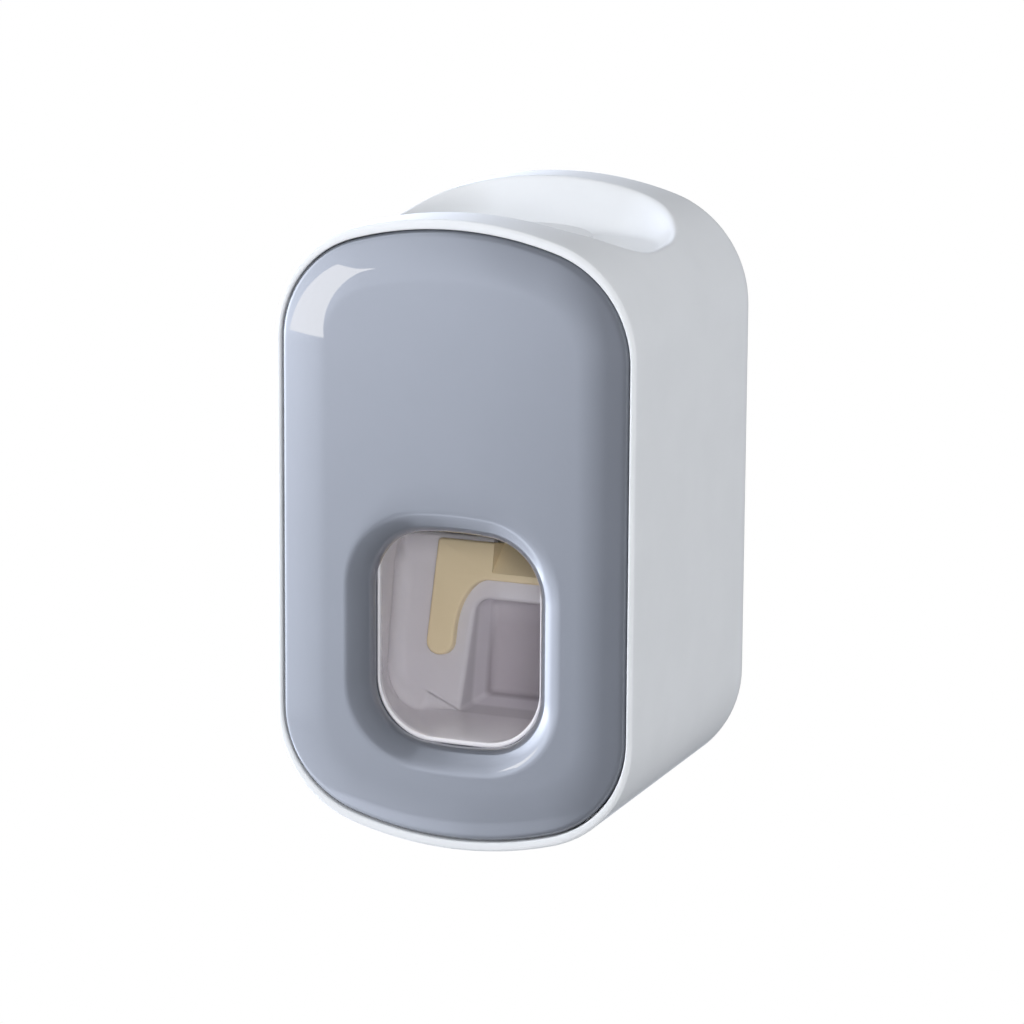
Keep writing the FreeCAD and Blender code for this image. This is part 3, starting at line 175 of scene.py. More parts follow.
def add_product(tree: Tree) -> Node:
    """Adds a node that multiplies the colours at its sockets A and B.

    Args:
        tree: node tree that takes the node.

    Returns:
        The new node.
    """
    both = tree.nodes.new("ShaderNodeMix")
    both.data_type = "RGBA"
    both.blend_type = "MULTIPLY"
    both.inputs["Factor"].default_value = 1.0
    return both


def set_stops(ramp: Node, stops: list[tuple[float, Triple]]) -> None:
    """Sets a colour ramp's stops.

    Args:
        ramp: colour ramp node.
        stops: position and colour of each stop, from the lowest position to the highest.
    """
    elements = ramp.color_ramp.elements
    while len(elements) < len(stops):
        elements.new(0.5)
    for element, stop in zip(elements, stops):
        element.position = stop[0]
        element.color = (*stop[1], 1.0)


@dataclass(frozen=True)
class Finish:
    """A moulded finish: two tones mottled together, a roughness range and a fine surface grain.

    The sizes of the mottle, the grain and the relief are in millimetres.
    """

    name: str
    tone: Triple
    shade: Triple
    rough: Pair
    mottle: float = 9.0
    grain: float = 0.35
    relief: float = 0.006
    coat: float = 0.0
    subsurface: float = 0.0
    metallic: float = 0.0
    coat_index: float = 1.5
    coat_rough: float = 0.015
    # depths: stops of painted shade along Y, multiplied into the tones
    depths: tuple[tuple[float, Triple], ...] = ()

    def build(self) -> Material:
        """Makes the finish as a node material on object coordinates.

        Returns:
            The material.
        """
        material = bpy.data.materials.new(self.name)
        material.use_nodes = True
        tree = material.node_tree
        shader = tree.nodes["Principled BSDF"]
        place = tree.nodes.new("ShaderNodeTexCoord")
        cloud = add_noise(tree, place, self.mottle, MOTTLE_DETAIL)
        tones = tree.nodes.new("ShaderNodeValToRGB")
        set_stops(tones, list(zip(MOTTLE_RAMP, (self.shade, self.tone))))
        join(cloud, "Fac", tones, "Fac")
        # painted shade along Y where the finish has depth stops
        colour = self.paint_depth_shade(tree, place, tones) if self.depths else tones.outputs["Color"]
        tree.links.new(colour, shader.inputs["Base Color"])
        grain = add_noise(tree, place, self.grain, GRAIN_DETAIL)
        spread = add_node(tree, "ShaderNodeMapRange", {"To Min": self.rough[0], "To Max": self.rough[1]})
        join(grain, "Fac", spread, "Value")
        join(spread, "Result", shader, "Roughness")
        bump = add_node(tree, "ShaderNodeBump", {"Distance": self.relief * METRES})
        join(grain, "Fac", bump, "Height")
        join(bump, "Normal", shader, "Normal")
        set_sockets(shader, {
            "Coat Weight": self.coat, "Coat Roughness": self.coat_rough, "Coat IOR": self.coat_index,
            "Subsurface Weight": self.subsurface, "Subsurface Radius": SCATTER_REACH,
            "Metallic": self.metallic,
        })
        return material

    def paint_depth_shade(self, tree: Tree, place: Node, tones: Node) -> Socket:
        """Multiplies the tones by painted shade that changes along Y, by the stops in depths.

        Args:
            tree: the material's node tree.
            place: its texture coordinate node.
            tones: the ramp of the mottled tones.

        Returns:
            The socket of the product.
        """
        first = self.depths[0][0]
        last = self.depths[-1][0]
        apart = tree.nodes.new("ShaderNodeSeparateXYZ")
        join(place, "Object", apart, "Vector")
        reach = add_node(tree, "ShaderNodeMapRange", {"From Min": first * METRES, "From Max": last * METRES})
        join(apart, "Y", reach, "Value")
        fall = tree.nodes.new("ShaderNodeValToRGB")
        set_stops(fall, [((depth - first) / (last - first), colour) for depth, colour in self.depths])
        join(reach, "Result", fall, "Fac")
        both = add_product(tree)
        join(tones, "Color", both, "A")
        join(fall, "Color", both, "B")
        return both.outputs["Result"]


WHITE = Finish("white_plastic", (0.84, 0.865, 0.895), (0.82, 0.845, 0.875), (0.34, 0.42),
               coat=0.4, coat_rough=0.07)
CLEAR_SILICONE = Finish("clear_silicone", (0.84, 0.865, 0.895), (0.82, 0.845, 0.875), (0.5, 0.62),
                        subsurface=0.2)
GREY_GLOSS = Finish("grey_gloss", (0.172, 0.187, 0.222), (0.167, 0.182, 0.216), (0.36, 0.42),
                    relief=0.0004, coat=1.0, coat_index=2.0)
# Milky cup plastic with painted shade along Y: full at the lip and the pocket's walls, shaded to 0.8 between
# depths -32 and -27.5 over the paddle's lower part, and down to 0.62 at the pocket's back
SMOKE_PAINTED_SHADE = Finish("smoke_plastic", (0.88, 0.86, 0.90), (0.86, 0.84, 0.88), (0.16, 0.24),
               relief=0.002, subsurface=0.4, depths=(
                   (-53.0, (1.0, 1.0, 1.0)), (-34.0, (1.0, 0.99, 1.0)), (-32.0, (0.80, 0.79, 0.80)),
                   (-27.5, (0.80, 0.79, 0.80)), (-26.0, (1.0, 0.99, 1.0)), (-21.8, (1.0, 0.99, 1.0)),
                   (-19.6, (0.62, 0.59, 0.61))))
BEIGE = Finish("beige_plastic", (0.87, 0.73, 0.49), (0.84, 0.70, 0.465), (0.32, 0.42))
NATURAL = Finish("natural_plastic", (0.80, 0.79, 0.76), (0.77, 0.76, 0.73), (0.35, 0.45))
SILICONE = Finish("silicone", (0.66, 0.67, 0.69), (0.61, 0.62, 0.64), (0.5, 0.62), subsurface=0.2)
FOAM = Finish("foam", (0.55, 0.55, 0.54), (0.45, 0.45, 0.44), (0.8, 0.95), mottle=1.2, grain=0.5, relief=0.12)
STEEL = Finish("steel", (0.62, 0.62, 0.61), (0.55, 0.55, 0.54), (0.22, 0.36), mottle=2.0, grain=0.2,
               metallic=1.0)

FINISHES = (WHITE, GREY_GLOSS, SMOKE_PAINTED_SHADE, BEIGE, NATURAL, SILICONE, CLEAR_SILICONE, FOAM, STEEL)
Materials = dict[Finish, Material]

NODE_FINISHES = {
    WHITE: ("wall_plate",),
    NATURAL: ("core_frame", "push_carriage", "nozzle_carriage", "nozzle_nut", "bellows_clamp", "inlet_seat"),
    STEEL: ("core_screws", "cup_screws", "cam_pins"),
}


def fit(piece: Piece, material: Material, body: Body, slot: str, *nodes: str) -> None:
    """Gives a new piece its material and its body, hides the part's nodes that it stands for, and reports it.

    Args:
        piece: the new piece.
        material: its material.
        body: the body that it rides on.
        slot: not used.
        nodes: the part's nodes that it replaces.
    """
    piece.data.materials.clear()
    piece.data.materials.append(material)
    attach(piece, body.value)
    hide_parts(*nodes)
    LOG.info("%s: %s, on %s", piece.name, material.name, body.value)


def straight(start: Pair, end: Pair, count: int) -> np.ndarray:
    """Even steps from one point towards another, without the last."""
    return np.linspace(start, end, count, endpoint=False)


def bend(centre: Pair, radii: Pair, start: float, end: float, count: int, last: bool = False) -> np.ndarray:
    """Even steps along an elliptic arc between two bearings, with or without the last."""
    angle = np.linspace(start, end, count, endpoint=last)
    return np.column_stack((centre[0] + radii[0] * np.cos(angle), centre[1] + radii[1] * np.sin(angle)))


def blend(first: np.ndarray, second: np.ndarray, share: np.ndarray | float) -> np.ndarray:
    """A weighted mean of two arrays: the first at share 0, the second at share 1."""
    return first * (1.0 - share) + second * share


def shares(count: int) -> np.ndarray:
    """Even shares up to 1, without 0."""
    return np.linspace(0.0, 1.0, count + 1)[1:]


def turns(count: int, end: float = QUARTER_TURN) -> np.ndarray:
    """Even angles from 0 to the end, with both."""
    return np.linspace(0.0, end, count + 1)


def quarter_round(radius: float, count: int) -> list[Pair]:
    """Steps of a quarter round from its side to its face: how far in, and how far behind the face."""
    return [(radius * (1 - math.cos(turn)), radius * (1 - math.sin(turn))) for turn in turns(count)]


def at_depth(flat: np.ndarray, depth: np.ndarray | float) -> np.ndarray:
    """Flat points as a row of points at a depth along Y."""
    return np.column_stack((flat[:, 0], depth + 0.0 * flat[:, 0], flat[:, 1]))


def soft_min(first: np.ndarray, second: np.ndarray, width: float) -> np.ndarray:
    """The lesser of two heights, with a rounded change-over of the given width."""
    share = np.clip(0.5 + 0.5 * (second - first) / width, 0.0, 1.0)
    return second * (1.0 - share) + first * share - width * share * (1.0 - share)


def rounded(profile: list[Pair], reach: float, steps: int = 5, longest: float = 0.45) -> list[Pair]:
    """A closed profile with every corner replaced by a parabola that starts a reach before the corner.

    Args:
        profile: corners as radius and height.
        reach: length taken from each edge at a corner.
        steps: points on each parabola.
        longest: largest share of an edge that a corner takes.

    Returns:
        The rounded profile.
    """
    corners = np.array(profile, dtype=float)
    share = np.linspace(0.0, 1.0, steps)[:, None]
    soft = []
    for before, corner, after in zip(np.roll(corners, 1, axis=0), corners, np.roll(corners, -1, axis=0)):
        ends = []
        for other in (before, after):
            length = np.linalg.norm(other - corner)
            ends.append(corner + (other - corner) * min(reach / length, longest))
        soft.append(blend(blend(ends[0], corner, share), blend(corner, ends[1], share), share))
    return [tuple(point) for point in np.concatenate(soft).tolist()]


@dataclass(frozen=True)
class Arc:
    """An arc of a front outline, run counter-clockwise between two bearings in radians."""

    across: float
    up: float
    radius: float
    start: float
    end: float


@dataclass(frozen=True)
class Outline:
    """A closed front outline of arcs that straight lines join."""

    arcs: tuple[Arc, ...]
    step: float = 0.05

    def trace(self) -> np.ndarray:
        """Points along the outline at even steps.

        Returns:
            Array (count, 2) of X and Z.
        """
        runs = []
        for arc in self.arcs:
            count = max(2, int((arc.end - arc.start) * arc.radius / self.step))
            radii = (arc.radius, arc.radius)
            runs.append(bend((arc.across, arc.up), radii, arc.start, arc.end, count, last=True))
        corners = np.concatenate(runs + [runs[0][:1]])
        way = np.concatenate(([0.0], np.cumsum(np.hypot(*np.diff(corners, axis=0).T))))
        stations = np.arange(0.0, way[-1], self.step)
        return np.column_stack([np.interp(stations, way, corners[:, axis]) for axis in (0, 1)])

    def cast(self, bearings: np.ndarray, centre: Pair = (0.0, 0.0)) -> np.ndarray:
        """Where rays from a centre inside the outline meet it.

        Args:
            bearings: directions of the rays in radians.
            centre: flat point that the rays start from.

        Returns:
            Array (rays, 2) of X and Z.
        """
        offset = self.trace() - np.array(centre)
        seen = np.arctan2(offset[:, 1], offset[:, 0])
        reach = np.interp(bearings, seen, np.hypot(offset[:, 0], offset[:, 1]), period=FULL_TURN)
        return np.array(centre) + reach[:, None] * np.column_stack((np.cos(bearings), np.sin(bearings)))


def arched(half_width: float, high: float, low: float, corner: float, arch: float) -> Outline:
    """An outline with straight sides, round corners and an arched top and foot.

    Args:
        half_width: from the middle to a side.
        high: height of the top's crown.
        low: height of the foot's crown.
        corner: radius of the corners.
        arch: radius of the top and the foot.

    Returns:
        The outline.
    """
    across = half_width - corner
    reach = arch - corner
    drop = arch - math.sqrt(reach ** 2 - across ** 2)
    lean = math.acos(across / reach)
    return Outline((
        Arc(across, high - drop, corner, 0.0, lean),
        Arc(0.0, high - arch, arch, lean, HALF_TURN - lean),
        Arc(-across, high - drop, corner, HALF_TURN - lean, HALF_TURN),
        Arc(-across, low + drop, corner, HALF_TURN, HALF_TURN + lean),
        Arc(0.0, low + arch, arch, HALF_TURN + lean, FULL_TURN - lean),
        Arc(across, low + drop, corner, FULL_TURN - lean, FULL_TURN),
    ))


def crowned(side: float = 0.0, crown: float = 0.0) -> Outline:
    """The dispenser's front outline, with its sides and its arches moved in."""
    high = FRONT_HALF_HEIGHT - crown
    return arched(FRONT_HALF_WIDTH - side, high, -high, FRONT_CORNER - side, ARCH_RADIUS - crown)


def window(grow: float) -> Outline:
    """The brush window's outline, grown on every side."""
    return arched(WINDOW_HALF_WIDTH + grow, WINDOW_TOP + grow, WINDOW_FOOT - grow, WINDOW_CORNER + grow,
                  ARCH_RADIUS + grow)


@dataclass
class Shell:
    """One closed skin: points in millimetres and the faces between them."""

    points: np.ndarray
    faces: list[tuple[int, ...]]


def skin(rows: np.ndarray, ring: bool = False) -> Shell:
    """A skin over rows of points whose columns close on themselves.

    Quads join each row to the next. With ring the last row joins the first; otherwise each end row
    closes on the mean of its points.

    Args:
        rows: array (rows, columns, 3).
        ring: whether the rows close on themselves too.

    Returns:
        The skin.
    """
    row_count, column_count = rows.shape[:2]
    index = np.arange(row_count * column_count).reshape(row_count, column_count)
    if ring:
        index = np.vstack((index, index[:1]))
    points = rows.reshape(-1, 3)
    faces = quads(index)
    if not ring:
        first_pole = len(points)
        points = np.vstack((points, rows[0].mean(axis=0), rows[-1].mean(axis=0)))
        starts = index[0].tolist()
        ends = index[-1].tolist()
        faces += [(first_pole, b, a) for a, b in zip(starts, starts[1:] + starts[:1])]
        faces += [(first_pole + 1, a, b) for a, b in zip(ends, ends[1:] + ends[:1])]
    return Shell(points, faces)


def quads(index: np.ndarray) -> list[tuple[int, ...]]:
    """Faces between the rows of a grid of point numbers whose columns close on themselves."""
    after = np.roll(index, -1, axis=1)
    corners = np.stack((index[:-1], after[:-1], after[1:], index[1:]), axis=-1).reshape(-1, 4)
    return [tuple(corner) for corner in corners.tolist()]


def lathe(profile: list[Pair], centre: Pair, axis: str = "Z", count: int = FULL_TURNS,
          ring: bool = False) -> Shell:
    """A skin turned about a line along Y or Z.

    Each profile point (radius, height) becomes a circle of that radius at that height on the line.

    Args:
        profile: radius and height pairs.
        centre: X and Z of a line along Y, or X and Y of a line along Z.
        axis: "Y" or "Z".
        count: points round each circle.
        ring: whether the profile closes on itself.

    Returns:
        The skin.
    """
    around = np.linspace(0.0, FULL_TURN, count, endpoint=False)
    radius = np.array([pair[0] for pair in profile])[:, None]
    height = np.array([pair[1] for pair in profile])[:, None]
    across = centre[0] + radius * np.cos(around)
    other = centre[1] + radius * np.sin(around)
    along = height + 0.0 * across
    order = (across, along, other) if axis == "Y" else (across, other, along)
    return skin(np.stack(order, axis=-1), ring)


def prism(corners: list[Triple], travel: Triple) -> Shell:
    """A flat polygon carried along a travel.

    Args:
        corners: the polygon's points.
        travel: way from the first end to the other.

    Returns:
        The skin.
    """
    base = np.array(corners)
    count = len(base)
    points = np.vstack((base, base + np.array(travel)))
    sides = [(i, (i + 1) % count, (i + 1) % count + count, i + count) for i in range(count)]
    ends = [tuple(range(count - 1, -1, -1)), tuple(range(count, 2 * count))]
    return Shell(points, sides + ends)


def make_piece(name: str, shells: list[Shell]) -> Piece:
    """A mesh object of closed skins, with merged doubles, outward normals and smooth shading.

    Args:
        name: the object's name.
        shells: skins in millimetres.

    Returns:
        The object, linked to the scene.
    """
    points = np.vstack([shell.points for shell in shells]) * METRES
    faces = []
    first = 0
    for shell in shells:
        faces += [tuple(corner + first for corner in face) for face in shell.faces]
        first += len(shell.points)
    mesh = bpy.data.meshes.new(name)
    mesh.from_pydata(points.tolist(), [], faces)
    tidy_mesh(mesh)
    piece = bpy.data.objects.new(name, mesh)
    bpy.context.scene.collection.objects.link(piece)
    return piece


def tidy_mesh(mesh: bpy.types.Mesh) -> None:
    """Merges doubles, drops faces without area, turns normals outward and shades smooth.

    Args:
        mesh: the mesh, which is changed.
    """
    work = bmesh.new()
    work.from_mesh(mesh)
    bmesh.ops.remove_doubles(work, verts=work.verts, dist=MERGE_REACH)
    bmesh.ops.dissolve_degenerate(work, edges=work.edges, dist=SLIVER_REACH)
    bmesh.ops.recalc_face_normals(work, faces=work.faces)
    work.to_mesh(mesh)
    work.free()
    mesh.shade_smooth()
    mesh.set_sharp_from_angle(angle=SHARP_ANGLE)


class Cut(Enum):
    """Ways to combine a piece with a tool solid."""

    TAKE = "DIFFERENCE"
    JOIN = "UNION"


def combine(piece: Piece, tool: Shell, way: Cut) -> None:
    """Cuts a tool solid from a piece, or joins it on, and keeps the result in the piece's mesh.

    Args:
        piece: the piece, whose mesh is replaced.
        tool: the solid's skin.
        way: whether it is taken away or joined on.
    """
    helper = make_piece("tool", [tool])
    modifier = piece.modifiers.new("combine", "BOOLEAN")
    modifier.operation = way.value
    modifier.solver = "MANIFOLD"
    modifier.object = helper
    graph = bpy.context.evaluated_depsgraph_get()
    result = bpy.data.meshes.new_from_object(piece.evaluated_get(graph))
    piece.modifiers.remove(modifier)
    before = piece.data
    piece.data = result
    result.name = piece.name
    bpy.data.meshes.remove(before)
    helper_mesh = helper.data
    bpy.data.objects.remove(helper)
    bpy.data.meshes.remove(helper_mesh)
    tidy_mesh(piece.data)


@dataclass(frozen=True)
class Dish:
    """The tube dish in the case's top, as a height over the top view."""

    half_width: float = 24.5
    half_length: float = 15.5
    corner: float = 13.0
    lean: float = 2.5
    floor_blend: float = 6.5
    rim_blend: float = 1.8

    def lower(self, points: np.ndarray, floor: float, grow: float) -> np.ndarray:
        """Sinks a skin's points to the dish.

        The signed distance to the footprint's rounded rectangle gives the wall's height as a line of
        slope lean, which a soft maximum joins to the floor and a soft minimum joins to the skin.

        Args:
            points: array (..., 3).
            floor: height of the dish's floor.
            grow: how far the footprint is grown.

        Returns:
            The sunk points, shaped as before.
        """
        across = np.abs(points[..., 0]) - (self.half_width + grow - self.corner)
        along = np.abs(points[..., 1] - TUBE_AXIS) - (self.half_length + grow - self.corner)
        outside = np.hypot(np.maximum(across, 0.0), np.maximum(along, 0.0))
        away = outside + np.minimum(np.maximum(across, along), 0.0) - self.corner
        wall = -soft_min(-(floor + self.lean * away), np.full_like(away, -floor), self.floor_blend)
        sunk = points.copy()
        upper = points[..., 2] > floor - self.floor_blend
        sunk[..., 2] = np.where(upper, soft_min(points[..., 2], wall, self.rim_blend), points[..., 2])
        return sunk


@dataclass(frozen=True)
class Case:
    """White case: crowned prism, open at the front, with the tube dish in its top."""

    back_round: float = 2.0
    rim_round: float = 0.6
    lip_round: float = 0.3
    round_steps: int = 6
    side_runs: tuple[tuple[float, float, int], ...] = ((-5.0, -8.5, 4), (-9.0, -50.0, 104), (-51.0, -55.0, 5))
    hollow_rows: int = 40
    rim_side: float = 0.95
    rim_crown: float = 1.55
    wall: float = 2.2
    dish: Dish = Dish()
    dish_bearing: float = math.radians(48.0)
    dish_columns: int = 250
    other_columns: int = 190
    hole_radius: float = 10.0
    hole_span: Pair = (38.0, 47.0)
    slot_mouth: float = 15.75
    slot_depth: float = 3.0
    slot_slope: float = 0.6
    slot_over: float = 0.5
    slot_foot: float = -60.0
    slot_length: float = 82.0
    post_radius: float = 3.4
    post_bevel: float = 0.3
    post_root: float = 1.0
    bore_radius: float = 1.6
    bore_depth: float = 5.2

    def bearings(self) -> np.ndarray:
        """Directions of the columns, close together over the dish.

        Returns:
            Bearings in radians.
        """
        low = self.dish_bearing
        high = HALF_TURN - low
        return np.concatenate((
            np.linspace(low, high, self.dish_columns, endpoint=False),
            np.linspace(high, FULL_TURN + low, self.other_columns, endpoint=False),
        ))

    def ring(self, side: float, crown: float, depth: float) -> np.ndarray:
        """One row round the case, with its sides and its arches moved in."""
        return at_depth(crowned(side, crown).cast(self.bearings()), depth)

    def skin_rows(self) -> tuple[np.ndarray, np.ndarray]:
        """Rows round the case; the back edge, the rim and its inner lip are quarter rounds.

        Returns:
            Rows of the outer skin from the back to the rim, and of the hollow from the rim to the back.
        """
        outer = []
        for inset, fall in quarter_round(self.back_round, self.round_steps):
            outer.append(self.ring(fall, fall, BACK_PLANE - inset))
        plain = crowned().cast(self.bearings())
        for start, end, count in self.side_runs:
            outer += [at_depth(plain, depth) for depth in np.linspace(start, end, count)]
        for inset, fall in quarter_round(self.rim_round, self.round_steps):
            outer.append(self.ring(inset, inset, RIM_PLANE + fall))
        inner = []
        for inset, fall in quarter_round(self.lip_round, self.round_steps):
            inner.append(self.ring(self.rim_side - fall, self.rim_crown - fall, RIM_PLANE + inset))
        inner.append(self.ring(self.rim_side, self.rim_crown, LEDGE))
        hollow = crowned(self.wall, self.wall).cast(self.bearings())
        inner += [at_depth(hollow, depth) for depth in np.linspace(LEDGE, CAVITY_BACK, self.hollow_rows)]
        return np.array(outer), np.array(inner)

    def slot(self) -> Shell:
        """The dovetail slot for the wall plate, open at the case's foot.

        Returns:
            The solid that is cut away.
        """
        back = BACK_PLANE + self.slot_over
        floor = BACK_PLANE - self.slot_depth
        narrow = self.slot_mouth - self.slot_over * self.slot_slope
        wide = self.slot_mouth + self.slot_depth * self.slot_slope
        foot = self.slot_foot
        corners = [(-narrow, back, foot), (narrow, back, foot), (wide, floor, foot), (-wide, floor, foot)]
        return prism(corners, (0.0, 0.0, self.slot_length))

    def build(self) -> Piece:
        """Makes the case with its dish, seal hole, wall slot and panel posts.

        Returns:
            The case.
        """
        outer, inner = self.skin_rows()
        outer = self.dish.lower(outer, DISH_FLOOR, 0.0)
        inner = self.dish.lower(inner, DISH_FLOOR - self.wall, self.wall)
        piece = make_piece("case", [skin(np.concatenate((outer, inner)))])
        hole = [(self.hole_radius, height) for height in self.hole_span]
        combine(piece, lathe(hole, (0.0, TUBE_AXIS)), Cut.TAKE)
        combine(piece, self.slot(), Cut.TAKE)
        profile = [
            (self.post_radius, CAVITY_BACK + self.post_root), (self.post_radius, LEDGE + self.post_bevel),
            (self.post_radius - self.post_bevel, LEDGE), (self.bore_radius, LEDGE),
            (self.bore_radius, LEDGE + self.bore_depth),
        ]
        for place in PEG_PLACES:
            combine(piece, lathe(profile, place, "Y", SMALL_TURNS), Cut.JOIN)
        return piece

    def dress(self, materials: Materials) -> None:
        """Builds the case and gives it its look."""
        fit(self.build(), materials[WHITE], Body.HOUSING, "white_plastic", "housing_shell")


@dataclass(frozen=True)
class Panel:
    """Glossy front panel: pillowed face, rolled window with a collar, skirt and pegs.

    The panel sits to one side in its play, by the amount in sit.
    """

    side: float = 1.15
    crown: float = 1.75
    edge_round: float = 0.9
    pillow_reach: float = 8.0
    pillow_depth: float = 0.56
    pillow_margin: float = 0.5
    window_roll: float = 3.3
    roll_reach: float = 4.1
    collar_end: float = -52.4
    collar_wall: float = 1.6
    collar_bevel: float = 0.3
    skirt_wall: float = 1.2
    sit: float = -0.16
    centre: Pair = (0.0, -17.6)
    columns: int = 720
    edge_steps: int = 8
    pillow_steps: int = 24
    face_steps: int = 8
    roll_steps: int = 12
    peg_radius: float = 2.4
    peg_root: float = 0.5
    pin_radius: float = 1.5
    pin_length: float = 4.5
    tip_radius: float = 1.1
    tip_length: float = 5.0

    def bearings(self) -> np.ndarray:
        """Directions of the columns from the window's centre."""
        return np.linspace(0.0, FULL_TURN, self.columns, endpoint=False)

    def edge(self, inset: float) -> np.ndarray:
        """The panel's outline, moved in, as flat points."""
        outline = crowned(self.side + inset, self.crown + inset)
        return outline.cast(self.bearings(), self.centre) + (self.sit, 0.0)

    def opening(self, grow: float) -> np.ndarray:
        """The window's outline, grown, as flat points."""
        return window(grow).cast(self.bearings(), self.centre)

    def pillow(self, inset: float) -> float:
        """How far the face falls back at a distance inside its edge: a parabola over the pillow's reach."""
        return self.pillow_depth * max(0.0, 1.0 - inset / self.pillow_reach) ** 2

    def rows(self) -> np.ndarray:
        """Closed rows from the skirt's foot over the face, through the window and back to the skirt.

        The edge is a quarter round and the window's roll a quarter ellipse.

        Returns:
            Array (rows, columns, 3).
        """
        rows = [at_depth(self.edge(0.0), LEDGE)]
        for inset, fall in quarter_round(self.edge_round, self.edge_steps):
            rows.append(at_depth(self.edge(inset), PANEL_FACE + fall + self.pillow(inset)))
        inmost = self.pillow_reach + self.pillow_margin
        for inset in np.linspace(self.edge_round, inmost, self.pillow_steps + 1)[1:]:
            rows.append(at_depth(self.edge(inset), PANEL_FACE + self.pillow(inset)))
        outer = self.edge(inmost)
        brim = self.opening(self.roll_reach)
        rows += [at_depth(blend(outer, brim, share), PANEL_FACE) for share in shares(self.face_steps)[:-1]]
        for inset, fall in quarter_round(1.0, self.roll_steps):
            rows.append(at_depth(self.opening(self.roll_reach * fall), PANEL_FACE + self.window_roll * inset))
        collar = ((0.0, self.collar_end - self.collar_bevel), (self.collar_bevel, self.collar_end),
                  (self.collar_wall, self.collar_end), (self.collar_wall, PANEL_BACK))
        rows += [at_depth(self.opening(grow), depth) for grow, depth in collar]
        rows += [at_depth(self.edge(self.skirt_wall), depth) for depth in (PANEL_BACK, LEDGE)]
        return np.array(rows)

    def build(self) -> Piece:
        """Makes the panel with its pegs.

        Returns:
            The panel.
        """
        profile = [
            (self.peg_radius, PANEL_BACK - self.peg_root), (self.peg_radius, LEDGE), (self.pin_radius, LEDGE),
            (self.pin_radius, LEDGE + self.pin_length), (self.tip_radius, LEDGE + self.tip_length),
        ]
        pegs = [lathe(profile, place, "Y", SMALL_TURNS) for place in PEG_PLACES]
        return make_piece("panel", [skin(self.rows(), ring=True)] + pegs)

    def dress(self, materials: Materials) -> None:
        """Builds the panel and gives it its look."""
        fit(self.build(), materials[GREY_GLOSS], Body.COVER, "grey_gloss", "front_panel")


# Points on each edge of a section
TOP_COLUMNS = 60
CORNER_COLUMNS = 16
SIDE_COLUMNS = 50
FOOT_COLUMNS = 70


@dataclass(frozen=True)
class Section:
    """A front section of the cup: a rounded rectangle with a fixed count of points on each edge.

    The sides lean out by a share of their width towards the foot, and the foot sags in its middle.
    """

    half_width: float
    low: float
    high: float
    low_corner: float
    high_corner: float
    spread: float = 0.0
    sag: float = 0.0

    def trace(self) -> np.ndarray:
        """Points clockwise from the upper left corner.

        Returns:
            Array (count, 2) of X and Z.
        """
        side = self.half_width
        foot = self.low_corner
        top = self.high_corner
        flat = np.concatenate((
            straight((-side + top, self.high), (side - top, self.high), TOP_COLUMNS),
            bend((side - top, self.high - top), (top, top), QUARTER_TURN, 0.0, CORNER_COLUMNS),
            straight((side, self.high - top), (side, self.low + foot), SIDE_COLUMNS),
            bend((side - foot, self.low + foot), (foot, foot), 0.0, -QUARTER_TURN, CORNER_COLUMNS),
            straight((side - foot, self.low), (-side + foot, self.low), FOOT_COLUMNS),
            bend((-side + foot, self.low + foot), (foot, foot), -QUARTER_TURN, -HALF_TURN, CORNER_COLUMNS),
            straight((-side, self.low + foot), (-side, self.high - top), SIDE_COLUMNS),
            bend((-side + top, self.high - top), (top, top), HALF_TURN, QUARTER_TURN, CORNER_COLUMNS),
        ))
        share = (self.high - flat[:, 1]) / (self.high - self.low)
        middle = 1.0 - (flat[:, 0] / side) ** 2
        across = flat[:, 0] * (1.0 + self.spread * share)
        return np.column_stack((across, flat[:, 1] - self.sag * middle * share))

    def grown(self, side: float, foot: float, top: float, least: float = 0.3) -> "Section":
        """The section moved out at its sides, its foot and its top, with corners of at least a radius."""
        return replace(self, half_width=self.half_width + side, low=self.low - foot, high=self.high + top,
                       low_corner=max(self.low_corner + side, least),
                       high_corner=max(self.high_corner + side, least))


